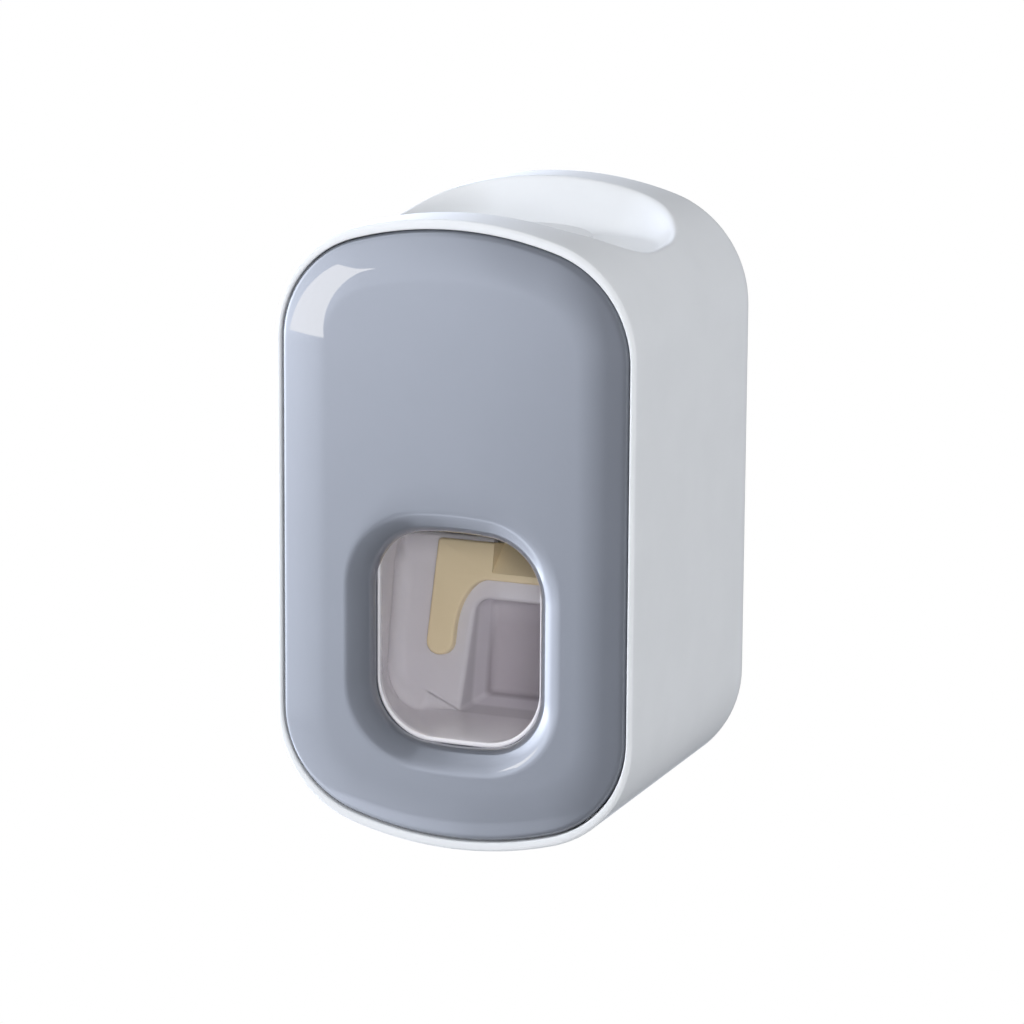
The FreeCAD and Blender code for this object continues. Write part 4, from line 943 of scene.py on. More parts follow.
@dataclass(frozen=True)
class Yoke:
    """Beige yoke on the paddle: two prongs under an arch, with a paste chute cut in its top."""

    half_width: float = 14.2
    length: float = 19.2
    prong: float = 4.5
    corner: float = 0.6
    arch_top: float = 6.2
    arch_side: float = 5.0
    arch_drop: float = 8.5
    thickness: float = 1.6
    edge_round: float = 0.45
    seat: float = -0.15
    flare: float = 0.05
    chute_half: float = 4.2
    chute_length: float = 5.0
    chute_depth: float = 4.6
    chute_over: Pair = (-0.6, 0.02)
    block_half: float = 4.9
    block_span: Pair = (0.05, 6.0)
    block_depth: float = 4.0
    block_overlap: float = 0.3
    notch_play: float = 0.1
    notch_depth: float = 4.4
    notch_over: Pair = (-2.0, 1.0)
    edge_steps: int = 5
    side_columns: int = 30
    corner_columns: int = 8
    arc_columns: int = 24
    leg_columns: int = 6
    arch_columns: int = 12

    def outline(self) -> np.ndarray:
        """The yoke's outline, counter-clockwise from the top.

        Each tip is a half circle and each side of the arch a quarter ellipse, and the width grows evenly
        towards the tips.

        Returns:
            Array (count, 2) of X and the way down the paddle.
        """
        corner = self.corner
        tip = self.prong / 2
        inner = self.half_width - self.prong
        foot = self.length - tip
        start = self.arch_top + self.arch_drop
        right = np.concatenate((
            straight((0.0, 0.0), (self.half_width - corner, 0.0), self.side_columns),
            bend((self.half_width - corner, corner), (corner, corner), -QUARTER_TURN, 0.0,
                 self.corner_columns),
            straight((self.half_width, corner), (self.half_width, foot), self.side_columns),
            bend((self.half_width - tip, foot), (tip, tip), 0.0, HALF_TURN, self.arc_columns),
            straight((inner, foot), (inner, start), self.leg_columns),
            bend((inner - self.arch_side, start), (self.arch_side, self.arch_drop), 0.0, -QUARTER_TURN,
                 self.arc_columns),
            straight((inner - self.arch_side, self.arch_top), (0.0, self.arch_top), self.arch_columns),
        ))
        left = right[::-1] * np.array([-1.0, 1.0])
        middle = np.array([[0.0, self.arch_top]])
        flat = np.concatenate((right, middle, left[:-1]))
        flat[:, 0] *= 1.0 + self.flare * flat[:, 1] / self.length
        return flat

    def lift(self, flat: np.ndarray, height: float) -> np.ndarray:
        """Points of the paddle's plane, raised from it.

        Args:
            flat: array (count, 2) of X and the way down the paddle.
            height: height over the plane.

        Returns:
            Array (count, 3).
        """
        lean = math.atan(PADDLE_LEAN)
        down = np.array([-math.sin(lean), -math.cos(lean)])
        out = np.array([-math.cos(lean), math.sin(lean)])
        side = np.array([PADDLE_EDGE, PADDLE_TOP]) + flat[:, 1:] * down + height * out
        return np.column_stack((flat[:, 0], side))

    def slab(self) -> Shell:
        """The yoke's plate: walls up from the paddle, a quarter-round front edge and flat ends.

        Returns:
            The plate's skin.
        """
        flat = self.outline()
        along = np.roll(flat, -1, axis=0) - np.roll(flat, 1, axis=0)
        inward = np.column_stack((-along[:, 1], along[:, 0])) / np.hypot(*along.T)[:, None]
        rows = [self.lift(flat, self.seat)]
        for inset, fall in quarter_round(self.edge_round, self.edge_steps):
            rows.append(self.lift(flat + inward * inset, self.thickness - fall))
        index = np.arange(len(rows) * len(flat)).reshape(len(rows), len(flat))
        ends = [tuple(index[0, ::-1].tolist()), tuple(index[-1].tolist())]
        return Shell(np.vstack(rows), quads(index) + ends)

    def wedge(self, half: float, corners: list[Pair]) -> Shell:
        """A solid as wide as twice the half, over corners given as the way down and the height."""
        points = [self.lift(np.array([[-half, down]]), height)[0] for down, height in corners]
        return prism([tuple(point) for point in points], (2.0 * half, 0.0, 0.0))

    def notch(self) -> Shell:
        """The room that the block takes in the paddle.

        Returns:
            The solid that is cut from the paddle.
        """
        top, front = self.notch_over
        foot = self.block_span[1] + self.notch_play
        deep = -self.notch_depth
        corners = [(top, deep), (foot, deep), (foot, front), (top, front)]
        return self.wedge(self.block_half + self.notch_play, corners)

    def build(self) -> Piece:
        """Makes the yoke with its chute and the block behind it.

        Returns:
            The yoke.
        """
        piece = make_piece("yoke", [self.slab()])
        start, end = self.block_span
        block = [(start, -self.block_depth), (end, -self.block_depth), (end, self.block_overlap),
                 (start, self.block_overlap)]
        combine(piece, self.wedge(self.block_half, block), Cut.JOIN)
        top = self.chute_over[0]
        front = self.thickness + self.chute_over[1]
        deep = front - self.chute_depth
        chute = [(top, front), (top, deep), (0.0, deep), (self.chute_length, front)]
        combine(piece, self.wedge(self.chute_half, chute), Cut.TAKE)
        return piece

    def dress(self, materials: Materials) -> None:
        """Builds the yoke and gives it its look."""
        fit(self.build(), materials[BEIGE], Body.PUSH, "beige_plastic", "push_yoke")


@dataclass(frozen=True)
class Cup:
    """Milky push cup: a lip inside the window, a flaring trough, a leaning paddle and a brush pocket.

    The fillet between the paddle and the trough fades out at the open top and at the pocket's mouth.
    """

    neck: Section = Section(13.76, -33.2, -2.3, 8.94, 0.8, sag=0.4)
    rear: Section = Section(21.0, -34.9, -7.5, 7.0, 0.8)
    pocket: Section = Section(7.2, -35.2, -16.8, 0.8, 2.2, spread=0.19)
    pocket_backs: Pair = (-20.5, -17.8)
    lip_front: float = -53.0
    neck_end: float = -52.2
    neck_wall: float = 0.48
    foot_wall: float = 0.82
    trough_wall: float = 1.5
    paddle_wall: float = 2.0
    floor_wall: float = 1.2
    back_wall: float = 1.0
    fillet: float = 2.5
    fade_start: float = 8.8
    fade_reach: float = 9.5
    fade_top: float = 4.0
    level: float = 0.01
    edge_round: float = 0.8
    back_round: float = 1.0
    crest: float = 1.2
    round_steps: int = 5
    pocket_steps: int = 7
    trough_steps: int = 15
    back_steps: int = 4
    shell_steps: int = 5
    paddle_steps: int = 9
    fillet_steps: int = 7
    neck_steps: int = 4
    lip_steps: int = 10
    flank_steps: int = 11
    boss_place: Pair = (16.5, -20.0)
    boss_ends: Pair = (-23.8, -27.6)
    boss_bore: float = 1.16
    boss_radius: float = 2.8
    boss_bevel: float = 0.2

    def face(self, flat: np.ndarray) -> np.ndarray:
        """Depth of the paddle's front at each point: a plane whose foot leans forward."""
        return PADDLE_EDGE + (flat[:, 1] - PADDLE_TOP) * PADDLE_LEAN

    def back(self, flat: np.ndarray) -> np.ndarray:
        """Depth of the pocket's back at each point: a plane between its depths at the top and the foot."""
        share = (self.pocket.high - flat[:, 1]) / (self.pocket.high - self.pocket.low)
        return blend(self.pocket_backs[0], self.pocket_backs[1], np.clip(share, 0.0, 1.0))

    def fade(self) -> np.ndarray:
        """How much of the fillet each column has: none at the top edge and at the pocket's mouth.

        Along the foot the share is a smooth step of the distance past the mouth.

        Returns:
            Array (columns, 1) of shares.
        """
        flat = self.rear.trace()
        mouth = np.clip((np.abs(flat[:, 0]) - self.fade_start) / self.fade_reach, 0.0, 1.0)
        mouth = mouth * mouth * (3.0 - 2.0 * mouth)
        sides = np.clip((self.rear.high - flat[:, 1]) / self.fade_top, 0.0, 1.0)
        share = np.where(flat[:, 1] < self.rear.low + self.level, mouth, sides)
        share[self.top_columns()] = 0.0
        return share[:, None]

    def top_columns(self) -> np.ndarray:
        """Numbers of the columns of the open top edge.

        Returns:
            Array of column numbers.
        """
        total = TOP_COLUMNS + 4 * CORNER_COLUMNS + 2 * SIDE_COLUMNS + FOOT_COLUMNS
        half_corner = CORNER_COLUMNS // 2
        return np.concatenate((np.arange(TOP_COLUMNS + half_corner), np.arange(total - half_corner, total)))

    def pocket_rows(self) -> list[np.ndarray]:
        """Rows from the pocket's rounded back along its walls to its rounded mouth.

        Returns:
            Rows of points.
        """
        rows = []
        for inset, fall in quarter_round(self.back_round, self.round_steps):
            flat = self.pocket.grown(-fall, -fall, -fall).trace()
            rows.append(at_depth(flat, self.back(flat) - inset))
        flat = self.pocket.trace()
        for share in shares(self.pocket_steps):
            depth = blend(self.back(flat) - self.back_round, self.face(flat) + self.edge_round, share)
            rows.append(at_depth(flat, depth))
        for grow, fall in quarter_round(self.edge_round, self.round_steps)[1:]:
            flat = self.pocket.grown(grow, 0.0, grow).trace()
            rows.append(at_depth(flat, self.face(flat) + fall))
        return rows

    def trough_rows(self) -> list[np.ndarray]:
        """Rows from the pocket's mouth over the paddle, round the fillet and along the trough to the neck.

        Returns:
            Rows of points.
        """
        fade = self.fade()
        rear = self.rear.trace()
        inner = self.rear.grown(-self.fillet, -self.fillet, -self.fillet).trace()
        mouth = self.pocket.grown(self.edge_round, 0.0, self.edge_round).trace()
        rows = []
        for share in shares(self.paddle_steps):
            flat = blend(mouth, blend(rear, inner, fade), share)
            rows.append(at_depth(flat, self.face(flat)))
        for inset, fall in quarter_round(1.0, self.fillet_steps)[1:]:
            flat = blend(rear, inner, fade * fall)
            rows.append(at_depth(flat, self.face(flat) - self.fillet * fade[:, 0] * inset))
        start = self.face(rear) - self.fillet * fade[:, 0]
        neck = self.neck.trace()
        for share in shares(self.trough_steps):
            rows.append(at_depth(blend(rear, neck, share), blend(start, self.neck_end, share)))
        return rows

    def lip_rows(self) -> list[np.ndarray]:
        """Rows along the neck, round the lip's half round and back outside it.

        Returns:
            Rows of points.
        """
        radius = self.neck_wall / 2
        stout = self.foot_wall / self.neck_wall
        flat = self.neck.trace()
        front = self.lip_front + radius
        rows = [at_depth(flat, depth) for depth in np.linspace(self.neck_end, front, self.neck_steps + 1)[1:]]
        for turn in turns(self.lip_steps, HALF_TURN)[1:]:
            grow = radius * (1 - math.cos(turn))
            flat = self.neck.grown(grow, grow * stout, 0.0).trace()
            rows.append(at_depth(flat, front - radius * math.sin(turn)))
        rows.append(at_depth(self.neck.grown(self.neck_wall, self.foot_wall, 0.0).trace(), self.neck_end))
        return rows

    def outer_rows(self) -> list[np.ndarray]:
        """Rows outside the trough, over the paddle's back and round the pocket.

        Returns:
            Rows of points.
        """
        neck = self.neck.grown(self.neck_wall, self.foot_wall, 0.0).trace()
        rear = self.rear.grown(self.trough_wall, self.trough_wall, 0.0).trace()
        pocket = self.pocket.grown(self.trough_wall, self.floor_wall, self.trough_wall).trace()
        rows = []
        for share in shares(self.flank_steps):
            depth = blend(self.neck_end, self.face(rear) + self.paddle_wall, share)
            rows.append(at_depth(blend(neck, rear, share), depth))
        for share in shares(self.back_steps):
            flat = blend(rear, pocket, share)
            rows.append(at_depth(flat, self.face(flat) + self.paddle_wall))
        for share in shares(self.shell_steps):
            depth = blend(self.face(pocket) + self.paddle_wall, self.back(pocket) + self.back_wall, share)
            rows.append(at_depth(pocket, depth))
        return rows

    def body_rows(self) -> np.ndarray:
        """All rows of the cup; at the open top they run over a half-round edge of the paddle.

        Returns:
            Array (rows, columns, 3).
        """
        trough = self.trough_rows()
        lip = self.lip_rows()
        outer = self.outer_rows()
        top = self.top_columns()
        paddle_last = self.paddle_steps + self.fillet_steps - 1
        front = trough[paddle_last][top]
        rear = outer[self.flank_steps - 1][top]
        for row in trough[paddle_last:]:
            row[top] = front
        over = (1 - np.cos(turns(self.lip_steps, HALF_TURN)[1:])) / 2
        for row, share in zip(lip, np.concatenate((np.zeros(self.neck_steps), over, [1.0]))):
            row[top] = blend(front, rear, share)
            row[top, 2] += self.crest * math.sqrt(share * (1 - share))
        for row in outer[:self.flank_steps]:
            row[top] = rear
        return np.array(self.pocket_rows() + trough + lip + outer)

    def build(self) -> Piece:
        """Makes the cup with the yoke's notch and its screw bosses.

        Returns:
            The cup.
        """
        piece = make_piece("cup", [skin(self.body_rows())])
        combine(piece, Yoke().notch(), Cut.TAKE)
        back, front = self.boss_ends
        profile = [
            (self.boss_bore, back), (self.boss_radius - self.boss_bevel, back),
            (self.boss_radius, back - self.boss_bevel), (self.boss_radius, front), (self.boss_bore, front),
        ]
        across, up = self.boss_place
        for place in ((-across, up), (across, up)):
            combine(piece, lathe(profile, place, "Y", SMALL_TURNS, ring=True), Cut.JOIN)
        return piece

    def dress(self, materials: Materials) -> None:
        """Builds the cup and gives it its look."""
        fit(self.build(), materials[SMOKE_PAINTED_SHADE], Body.PUSH, "smoke_plastic", "push_cup")


@dataclass(frozen=True)
class Spring:
    """Return spring: one wire wound about a line along Y, with a closed turn at each end.
    """

    name: str
    node: str
    across: float
    up: float = -29.0
    start: float = -21.35
    end: float = -9.45
    anchor: float = -9.0
    radius: float = 3.1
    wire: float = 0.35
    wire_gap: float = 0.02
    coils: int = 7
    coil_steps: int = 40
    wire_columns: int = 14
    squeezed: float = 0.414

    def build(self) -> Piece:
        """Makes the wire as circles set square to a helix whose rise is least in its end turns.

        Returns:
            The spring.
        """
        count = np.linspace(0.0, self.coils, self.coils * self.coil_steps + 1)
        closed = 2.0 * self.wire + self.wire_gap
        depth = np.interp(count, (0.0, 1.0, self.coils - 1.0, self.coils),
                          (self.start, self.start + closed, self.end - closed, self.end))
        angle = count * FULL_TURN
        out = np.column_stack((np.cos(angle), np.zeros_like(angle), np.sin(angle)))
        line = np.column_stack((np.full_like(depth, self.across), depth, np.full_like(depth, self.up)))
        spine = line + self.radius * out
        ahead = np.gradient(spine, axis=0)
        ahead = ahead / np.linalg.norm(ahead, axis=1)[:, None]
        other = np.cross(ahead, out)
        around = np.linspace(0.0, FULL_TURN, self.wire_columns, endpoint=False)[None, :, None]
        ring = np.cos(around) * out[:, None, :] + np.sin(around) * other[:, None, :]
        return make_piece(self.name, [skin(spine[:, None, :] + self.wire * ring)])

    def dress(self, materials: Materials) -> None:
        """Builds the spring, gives it its look and gives it a mesh of its own.

        Args:
            materials: the material of each finish.
        """
        coil = self.build()
        fit(coil, materials[STEEL], Body.HOUSING, "steel", self.node)
        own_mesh(coil)


@dataclass(frozen=True)
class SoftParts:
    """Soft pieces on the tube's line: the seal, the inlet flap, the folded pump and the duckbill.
    """

    deck: float = 31.0
    hub_top: float = 10.8
    folds: int = 4
    flange: float = 1.4
    fold_radii: Pair = (10.4, 7.6)
    fold_wall: float = 1.0
    squeezed: float = 0.703
    bill_corner: float = 0.45
    bill_steps: int = 8

    def turned(self, name: str, profile: list[Pair], reach: float) -> Piece:
        """A closed profile with rounded corners, turned about the tube's line."""
        return make_piece(name, [lathe(rounded(profile, reach), (0.0, TUBE_AXIS), ring=True)])

    def seal(self) -> Piece:
        """Makes the grommet: a funnel mouth, two flanges and a spout.

        Returns:
            The seal.
        """
        return self.turned("seal", [
            (5.6, 35.2), (8.0, 35.2), (8.0, 39.3), (12.0, 39.3), (12.0, 40.75), (9.95, 40.75),
            (9.95, 43.05), (12.0, 43.05), (12.0, 44.5), (8.0, 44.5), (5.6, 40.6),
        ], 0.5)

    def flap(self) -> Piece:
        """Makes the disc under the ports, with its knobbed stem.

        Returns:
            The flap.
        """
        return self.turned("flap", [
            (0.02, 29.7), (6.2, 29.7), (6.2, 30.5), (1.2, 30.5), (1.2, 32.1), (1.9, 32.1),
            (0.6, 34.0), (0.02, 34.0),
        ], 0.25)

    def pump(self) -> Piece:
        """Makes the bellows: round folds between an upper flange and a foot.

        Returns:
            The bellows.
        """
        upper = self.deck - self.flange
        lower = self.hub_top + self.flange
        heights = np.linspace(upper, lower, 2 * self.folds)
        outside = list(zip(self.fold_radii * self.folds, heights.tolist()))
        inside = [(radius - self.fold_wall, height) for radius, height in reversed(outside)]
        head = [(9.0, self.deck), (13.0, self.deck), (13.0, upper)]
        foot = [(9.0, lower), (9.0, self.hub_top), (6.6, self.hub_top)]
        return self.turned("pump", head + outside + foot + inside, 0.5)

    def duckbill(self) -> Piece:
        """Makes the nozzle: a flange, a round neck and a bill that flattens to a slit.

        Each row is a superellipse; its corners fill out as the bill's depth falls.

        Returns:
            The nozzle.
        """
        plain = [(3.0, 5.2), (6.1, 5.2), (6.4, 4.9), (6.4, 4.0), (6.1, 3.7), (4.5, 3.7), (4.2, 3.4)]
        rows = [(radius, radius, 0.0, height) for radius, height in plain]
        steps = np.linspace(0.0, 1.0, self.bill_steps + 1)
        rows += [(4.2, blend(4.2, 1.0, share), share, blend(0.8, -4.5, share)) for share in steps]
        rows += [(4.0, 0.85, 1.0, -4.6), (3.1, 0.4, 1.0, -4.6)]
        rows += [(3.0, blend(3.0, 0.35, share), share, blend(0.8, -4.5, share)) for share in steps[::-1]]
        around = np.linspace(0.0, FULL_TURN, FULL_TURNS, endpoint=False)
        table = np.array(rows)[:, :, None]
        power = 1.0 - self.bill_corner * table[:, 2]
        across = table[:, 0] * np.sign(np.cos(around)) * np.abs(np.cos(around)) ** power
        along = TUBE_AXIS + table[:, 1] * np.sign(np.sin(around)) * np.abs(np.sin(around)) ** power
        up = table[:, 3] + 0.0 * across
        return make_piece("duckbill", [skin(np.stack((across, along, up), axis=-1), ring=True)])

    def dress(self, materials: Materials) -> None:
        """Builds the soft pieces, gives them their looks and gives the pump a mesh of its own.

        Args:
            materials: the material of each finish.
        """
        fit(self.seal(), materials[CLEAR_SILICONE], Body.HOUSING, "silicone", "tube_seal")
        fit(self.flap(), materials[SILICONE], Body.HOUSING, "silicone", "inlet_flap")
        fit(self.duckbill(), materials[SILICONE], Body.NOZZLE, "silicone", "duckbill_nozzle")
        pump = self.pump()
        fit(pump, materials[SILICONE], Body.HOUSING, "silicone", "pump_bellows")
        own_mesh(pump)


@dataclass(frozen=True)
class Pad:
    """Foam pad on the wall: a rounded sheet whose edges bulge a little."""

    half_width: float = 14.0
    half_height: float = 20.0
    thickness: float = 1.0
    corner: float = 4.0
    edge: float = 0.3
    fill: float = 1.0
    edge_rows: int = 9

    def build(self) -> Piece:
        """Makes rows from the plate's face round the half-round edge to the wall's face.

        Returns:
            The pad.
        """
        rows = []
        for turn in np.linspace(-QUARTER_TURN, QUARTER_TURN, self.edge_rows):
            inset = self.edge * (1 - math.cos(turn))
            depth = self.thickness / 2 * (math.sin(turn) - 1.0)
            section = Section(self.half_width - inset, -self.half_height + inset, self.half_height - inset,
                              self.corner - inset, self.corner - inset)
            rows.append(at_depth(section.trace(), depth))
        return make_piece("pad", [skin(np.array(rows))])

    def dress(self, materials: Materials) -> None:
        pad = self.build()
        fit(pad, materials[FOAM], Body.MOUNT, "foam", "adhesive_pad")


def level_axes(ahead: np.ndarray) -> tuple[np.ndarray, np.ndarray]:
    """The level axis to the right of a viewing direction, and the axis up from both."""
    right = np.cross(ahead, (0.0, 0.0, 1.0))
    right = right / np.linalg.norm(right)
    return right, np.cross(right, ahead)


def axes_matrix(right: np.ndarray, up: np.ndarray, back: np.ndarray, place: Triple) -> Matrix:
    """A world matrix from three axes and a place."""
    matrix = np.eye(4)
    matrix[:3, :4] = np.column_stack((right, up, back, place))
    return Matrix(matrix.tolist())


@dataclass(frozen=True)
class Lamp:
    """A soft studio light aimed at a point; place, target and size in metres."""

    name: str
    place: Triple
    target: Triple
    width: float
    height: float
    power: float

    def build(self) -> None:
        """Adds the light to the scene, unseen by the camera and by mirrors."""
        light = bpy.data.lights.new(self.name, "AREA")
        light.shape = "RECTANGLE"
        light.size = self.width
        light.size_y = self.height
        light.energy = self.power
        ahead = np.array(self.target) - np.array(self.place)
        ahead = ahead / np.linalg.norm(ahead)
        lamp = bpy.data.objects.new(self.name, light)
        lamp.matrix_world = axes_matrix(*level_axes(ahead), -ahead, self.place)
        lamp.visible_glossy = False
        lamp.visible_camera = False
        bpy.context.scene.collection.objects.link(lamp)


@dataclass(frozen=True)
class HighlightCard:
    """A lit card that the panel's pillowed upper left corner mirrors as a crescent.

    Each point of the crescent's border has a normal from the pillow's slope. The ray from the camera is
    mirrored there and carried on to the card's plane, and the points so found are the card's border.
    """

    eye: Triple
    panel: Panel = Panel()
    outer_insets: Pair = (1.5, 2.7)
    inner_insets: Pair = (7.6, 5.1)
    outer_run: Pair = (174.8, 120.5)
    inner_run: Pair = (175.4, 103.9)
    steps: int = 24
    away: float = 600.0
    glow: float = 4.8

    def border(self, insets: Pair, run: Pair) -> tuple[np.ndarray, np.ndarray]:
        """Points of one border inside the panel's edge, and the mirrored rays there.

        Args:
            insets: distances inside the panel's edge at the border's two ends.
            run: bearings of the edge's outward normal at the two ends, in degrees.

        Returns:
            Points and unit rays, arrays (count, 3).
        """
        inset = np.linspace(insets[0], insets[1], self.steps)
        bearing = np.radians(np.linspace(run[0], run[1], self.steps))
        arch, corner = crowned(self.panel.side, self.panel.crown).arcs[1:3]
        on_corner = bearing > corner.start
        radius = np.where(on_corner, corner.radius, arch.radius) - inset
        across = np.where(on_corner, corner.across, arch.across) + radius * np.cos(bearing)
        up = np.where(on_corner, corner.up, arch.up) + radius * np.sin(bearing)
        fall = np.array([self.panel.pillow(each) for each in inset])
        points = np.column_stack((across, PANEL_FACE + fall, up))
        reach = self.panel.pillow_reach
        lean = np.arctan(2.0 * self.panel.pillow_depth / reach * (1.0 - inset / reach))
        tilt = np.sin(lean)
        normal = np.column_stack((tilt * np.cos(bearing), -np.cos(lean), tilt * np.sin(bearing)))
        sight = points - np.array(self.eye) / METRES
        sight = sight / np.linalg.norm(sight, axis=1)[:, None]
        return points, sight - 2.0 * np.sum(sight * normal, axis=1)[:, None] * normal

    def corners(self) -> np.ndarray:
        """The card's border, on a plane square to the mean mirrored ray.

        Returns:
            Array (count, 3) in metres.
        """
        outer = self.border(self.outer_insets, self.outer_run)
        inner = self.border(self.inner_insets[::-1], self.inner_run[::-1])
        points = np.vstack((outer[0], inner[0]))
        rays = np.vstack((outer[1], inner[1]))
        ahead = rays.mean(axis=0) / np.linalg.norm(rays.mean(axis=0))
        middle = points.mean(axis=0) + self.away * ahead
        reach = ((middle - points) @ ahead) / (rays @ ahead)
        return (points + reach[:, None] * rays) * METRES

    def build(self) -> None:
        """Adds the card as one flat face that only mirrors see."""
        corners = self.corners()
        mesh = bpy.data.meshes.new("highlight_card")
        mesh.from_pydata(corners.tolist(), [], [tuple(range(len(corners)))])
        card = bpy.data.objects.new("highlight_card", mesh)
        bpy.context.scene.collection.objects.link(card)
        material = bpy.data.materials.new("card_glow")
        material.use_nodes = True
        tree = material.node_tree
        tree.nodes.clear()
        glow = add_node(tree, "ShaderNodeEmission", {"Color": COOL_WHITE, "Strength": self.glow})
        output = tree.nodes.new("ShaderNodeOutputMaterial")
        join(glow, "Emission", output, "Surface")
        mesh.materials.append(material)
        card.visible_camera = False
        card.visible_diffuse = False
        card.visible_shadow = False
        card.visible_transmission = False


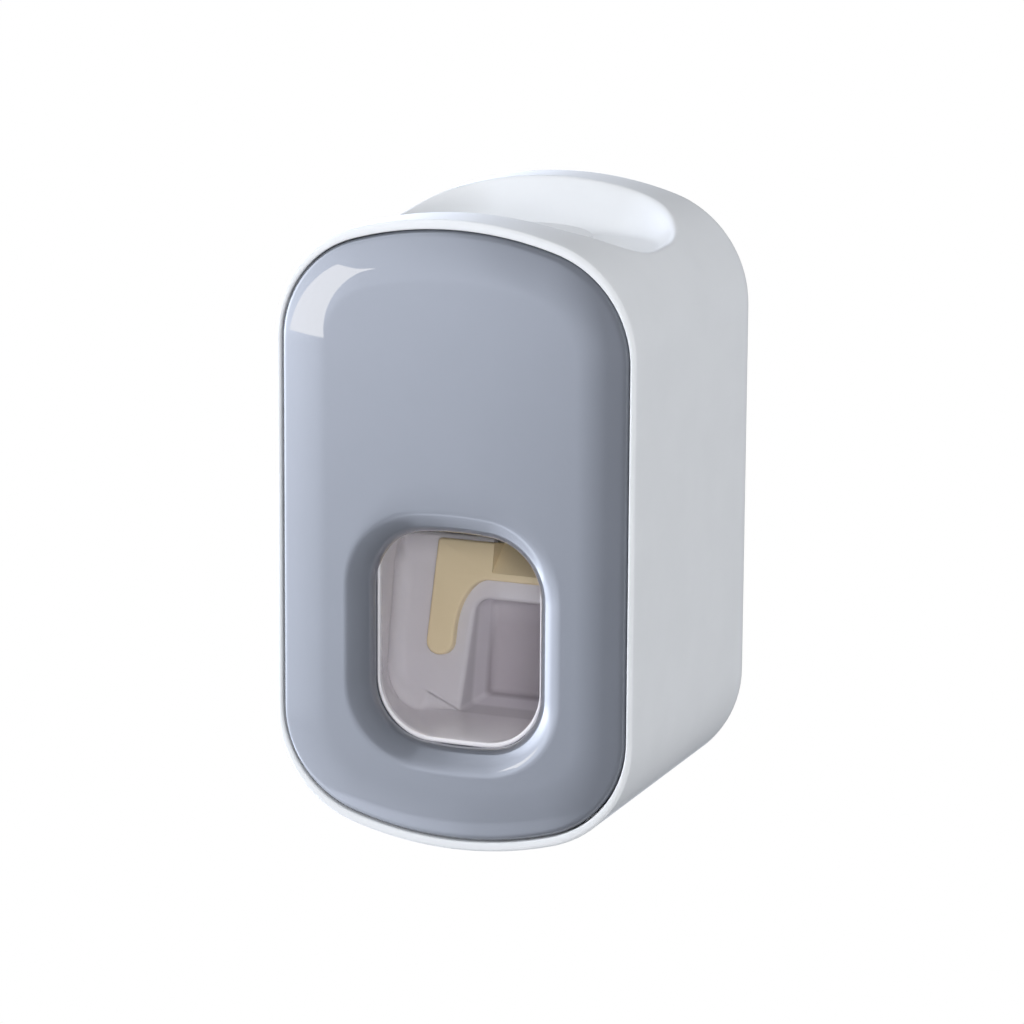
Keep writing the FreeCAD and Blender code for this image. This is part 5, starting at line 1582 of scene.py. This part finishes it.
@dataclass(frozen=True)
class Studio:
    """Camera, lights, floor and white surround; places in metres.

    The stops give the brightness of the mirrored surround at a direction's X and at its Z.
    """

    lens: float = 173.4
    sensor: float = 36.0
    nearest: float = 0.01
    place: Triple = (0.29075, -0.75326, 0.18359)
    ahead: Triple = (-0.3633, 0.9027, -0.2306)
    roll: float = math.radians(0.37)
    floor_height: float = -0.45
    floor_half: float = 3000.0
    floor_depth: float = 10.0
    floor_tone: tuple[float, float, float, float] = (0.9, 0.9, 0.9, 1.0)
    floor_rough: float = 0.9
    ambient: float = 0.27
    mirror_strength: float = 12.0
    mirror_tint: Triple = (0.78, 0.85, 1.0)
    across_stops: tuple[Pair, ...] = (
        (-1.0, 1.2), (-0.88, 1.2), (-0.74, 0.72), (-0.57, 0.63), (-0.45, 0.52), (-0.372, 0.36),
        (-0.349, 0.265), (-0.19, 0.04), (1.0, 0.04))
    upward_stops: tuple[Pair, ...] = (
        (-1.0, 0.2), (-0.56, 0.34), (-0.51, 0.52), (-0.45, 0.50), (-0.43, 0.33), (-0.30, 0.31), (-0.23, 0.40),
        (-0.17, 0.56), (0.05, 0.40), (0.4, 0.28), (1.0, 0.28))
    middle: Triple = (0.0, -0.05, 0.0)
    dish: Triple = (0.0, -0.03, 0.03)

    def camera(self) -> None:
        """Sets the camera at the photograph's viewing angle, turned by the roll about its own axis."""
        data = bpy.data.cameras.new("camera")
        data.lens = self.lens
        data.sensor_width = self.sensor
        data.clip_start = self.nearest
        ahead = np.array(self.ahead) / np.linalg.norm(self.ahead)
        right, up = level_axes(ahead)
        level = math.cos(self.roll) * right + math.sin(self.roll) * up
        upright = -math.sin(self.roll) * right + math.cos(self.roll) * up
        camera = bpy.data.objects.new("camera", data)
        camera.matrix_world = axes_matrix(level, upright, -ahead, self.place)
        bpy.context.scene.collection.objects.link(camera)
        bpy.context.scene.camera = camera

    def surround(self) -> None:
        """Sets a soft ambient light that the camera sees as white and glossy coats see graded."""
        world = bpy.data.worlds.new("surround")
        bpy.context.scene.world = world
        world.use_nodes = True
        tree = world.node_tree
        tree.nodes.clear()
        soft = add_node(tree, "ShaderNodeBackground", {"Color": COOL_WHITE, "Strength": self.ambient})
        white = add_node(tree, "ShaderNodeBackground", {"Color": PLAIN_WHITE})
        mirrored = add_node(tree, "ShaderNodeBackground", {"Strength": self.mirror_strength})
        tree.links.new(self.grading(tree), mirrored.inputs["Color"])
        rays = tree.nodes.new("ShaderNodeLightPath")
        lit = tree.nodes.new("ShaderNodeMixShader")
        join(rays, "Is Glossy Ray", lit, "Fac")
        join(soft, "Background", lit, 1)
        join(mirrored, "Background", lit, 2)
        seen = tree.nodes.new("ShaderNodeMixShader")
        join(rays, "Is Camera Ray", seen, "Fac")
        join(lit, "Shader", seen, 1)
        join(white, "Background", seen, 2)
        output = tree.nodes.new("ShaderNodeOutputWorld")
        join(seen, "Shader", output, "Surface")

    def grading(self, tree: Tree) -> Socket:
        """Multiplies the surround's brightness across by its brightness upward.

        Args:
            tree: the world's node tree.

        Returns:
            The socket of the graded colour.
        """
        place = tree.nodes.new("ShaderNodeTexCoord")
        apart = tree.nodes.new("ShaderNodeSeparateXYZ")
        join(place, "Generated", apart, "Vector")
        both = add_product(tree)
        runs = (
            ("X", "A", self.across_stops, self.mirror_tint),
            ("Z", "B", self.upward_stops, PLAIN_WHITE[:3]),
        )
        for axis, socket, stops, tint in runs:
            span = add_node(tree, "ShaderNodeMapRange", {"From Min": -1.0})
            join(apart, axis, span, "Value")
            ramp = tree.nodes.new("ShaderNodeValToRGB")
            set_stops(ramp, [((part + 1) / 2, tuple(level * c for c in tint)) for part, level in stops])
            join(span, "Result", ramp, "Fac")
            join(ramp, "Color", both, socket)
        return both.outputs["Result"]

    def floor(self) -> None:
        """Lays a plain pale floor well below the wall-held case, which the camera sees as white."""
        half = self.floor_half
        low = self.floor_height / METRES
        corners = [(-half, -half, low), (half, -half, low), (half, half, low), (-half, half, low)]
        floor = make_piece("floor", [prism(corners, (0.0, 0.0, -self.floor_depth))])
        material = bpy.data.materials.new("pale_floor")
        material.use_nodes = True
        tree = material.node_tree
        shader = tree.nodes["Principled BSDF"]
        set_sockets(shader, {"Base Color": self.floor_tone, "Roughness": self.floor_rough})
        mix = tree.nodes.new("ShaderNodeMixShader")
        glow = tree.nodes.new("ShaderNodeEmission")
        rays = tree.nodes.new("ShaderNodeLightPath")
        join(rays, "Is Camera Ray", mix, "Fac")
        join(shader, "BSDF", mix, 1)
        join(glow, "Emission", mix, 2)
        tree.links.new(mix.outputs["Shader"], tree.nodes["Material Output"].inputs["Surface"])
        floor.data.materials.append(material)
        floor.visible_glossy = False

    def lights(self) -> None:
        """Sets a wide box and a near light at the left, a key by the camera, a top light and a fill."""
        lamps = (
            Lamp("wide_box", (-0.459, -0.441, 0.068), self.middle, 0.56, 0.60, 1.2),
            Lamp("key", (0.310, -0.760, 0.195), self.middle, 0.20, 0.20, 2.6),
            Lamp("near_left", (-0.15, -0.24, 0.10), self.middle, 0.12, 0.12, 0.08),
            Lamp("top", (-0.14, -0.10, 0.56), self.dish, 0.30, 0.30, 0.85),
            Lamp("fill", (0.55, 0.15, 0.05), self.middle, 0.40, 0.50, 1.32),
        )
        for lamp in lamps:
            lamp.build()

    def build(self) -> None:
        """Sets up everything round the object."""
        bpy.context.scene.view_settings.view_transform = "Standard"
        self.camera()
        self.surround()
        self.floor()
        self.lights()
        HighlightCard(self.place).build()


PARTS = (
    Case(),
    Panel(),
    Cup(),
    Yoke(),
    Spring("spring_left", "return_spring_left", -17.5),
    Spring("spring_right", "return_spring_right", 17.5),
    SoftParts(),
    Pad(),
)


def main() -> None:
    """Builds the looks over the frame and the studio round them."""
    logging.basicConfig(level=logging.INFO, format="%(message)s")
    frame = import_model()
    materials = {finish: finish.build() for finish in FINISHES}
    for finish, nodes in NODE_FINISHES.items():
        for node in nodes:
            for slot in frame["nodes"][node].material_slots:
                slot.material = materials[finish]
            LOG.info("%s: %s", node, finish.name)
    for part in PARTS:
        part.dress(materials)
    Studio().build()


if __name__ == "__main__":
    main()
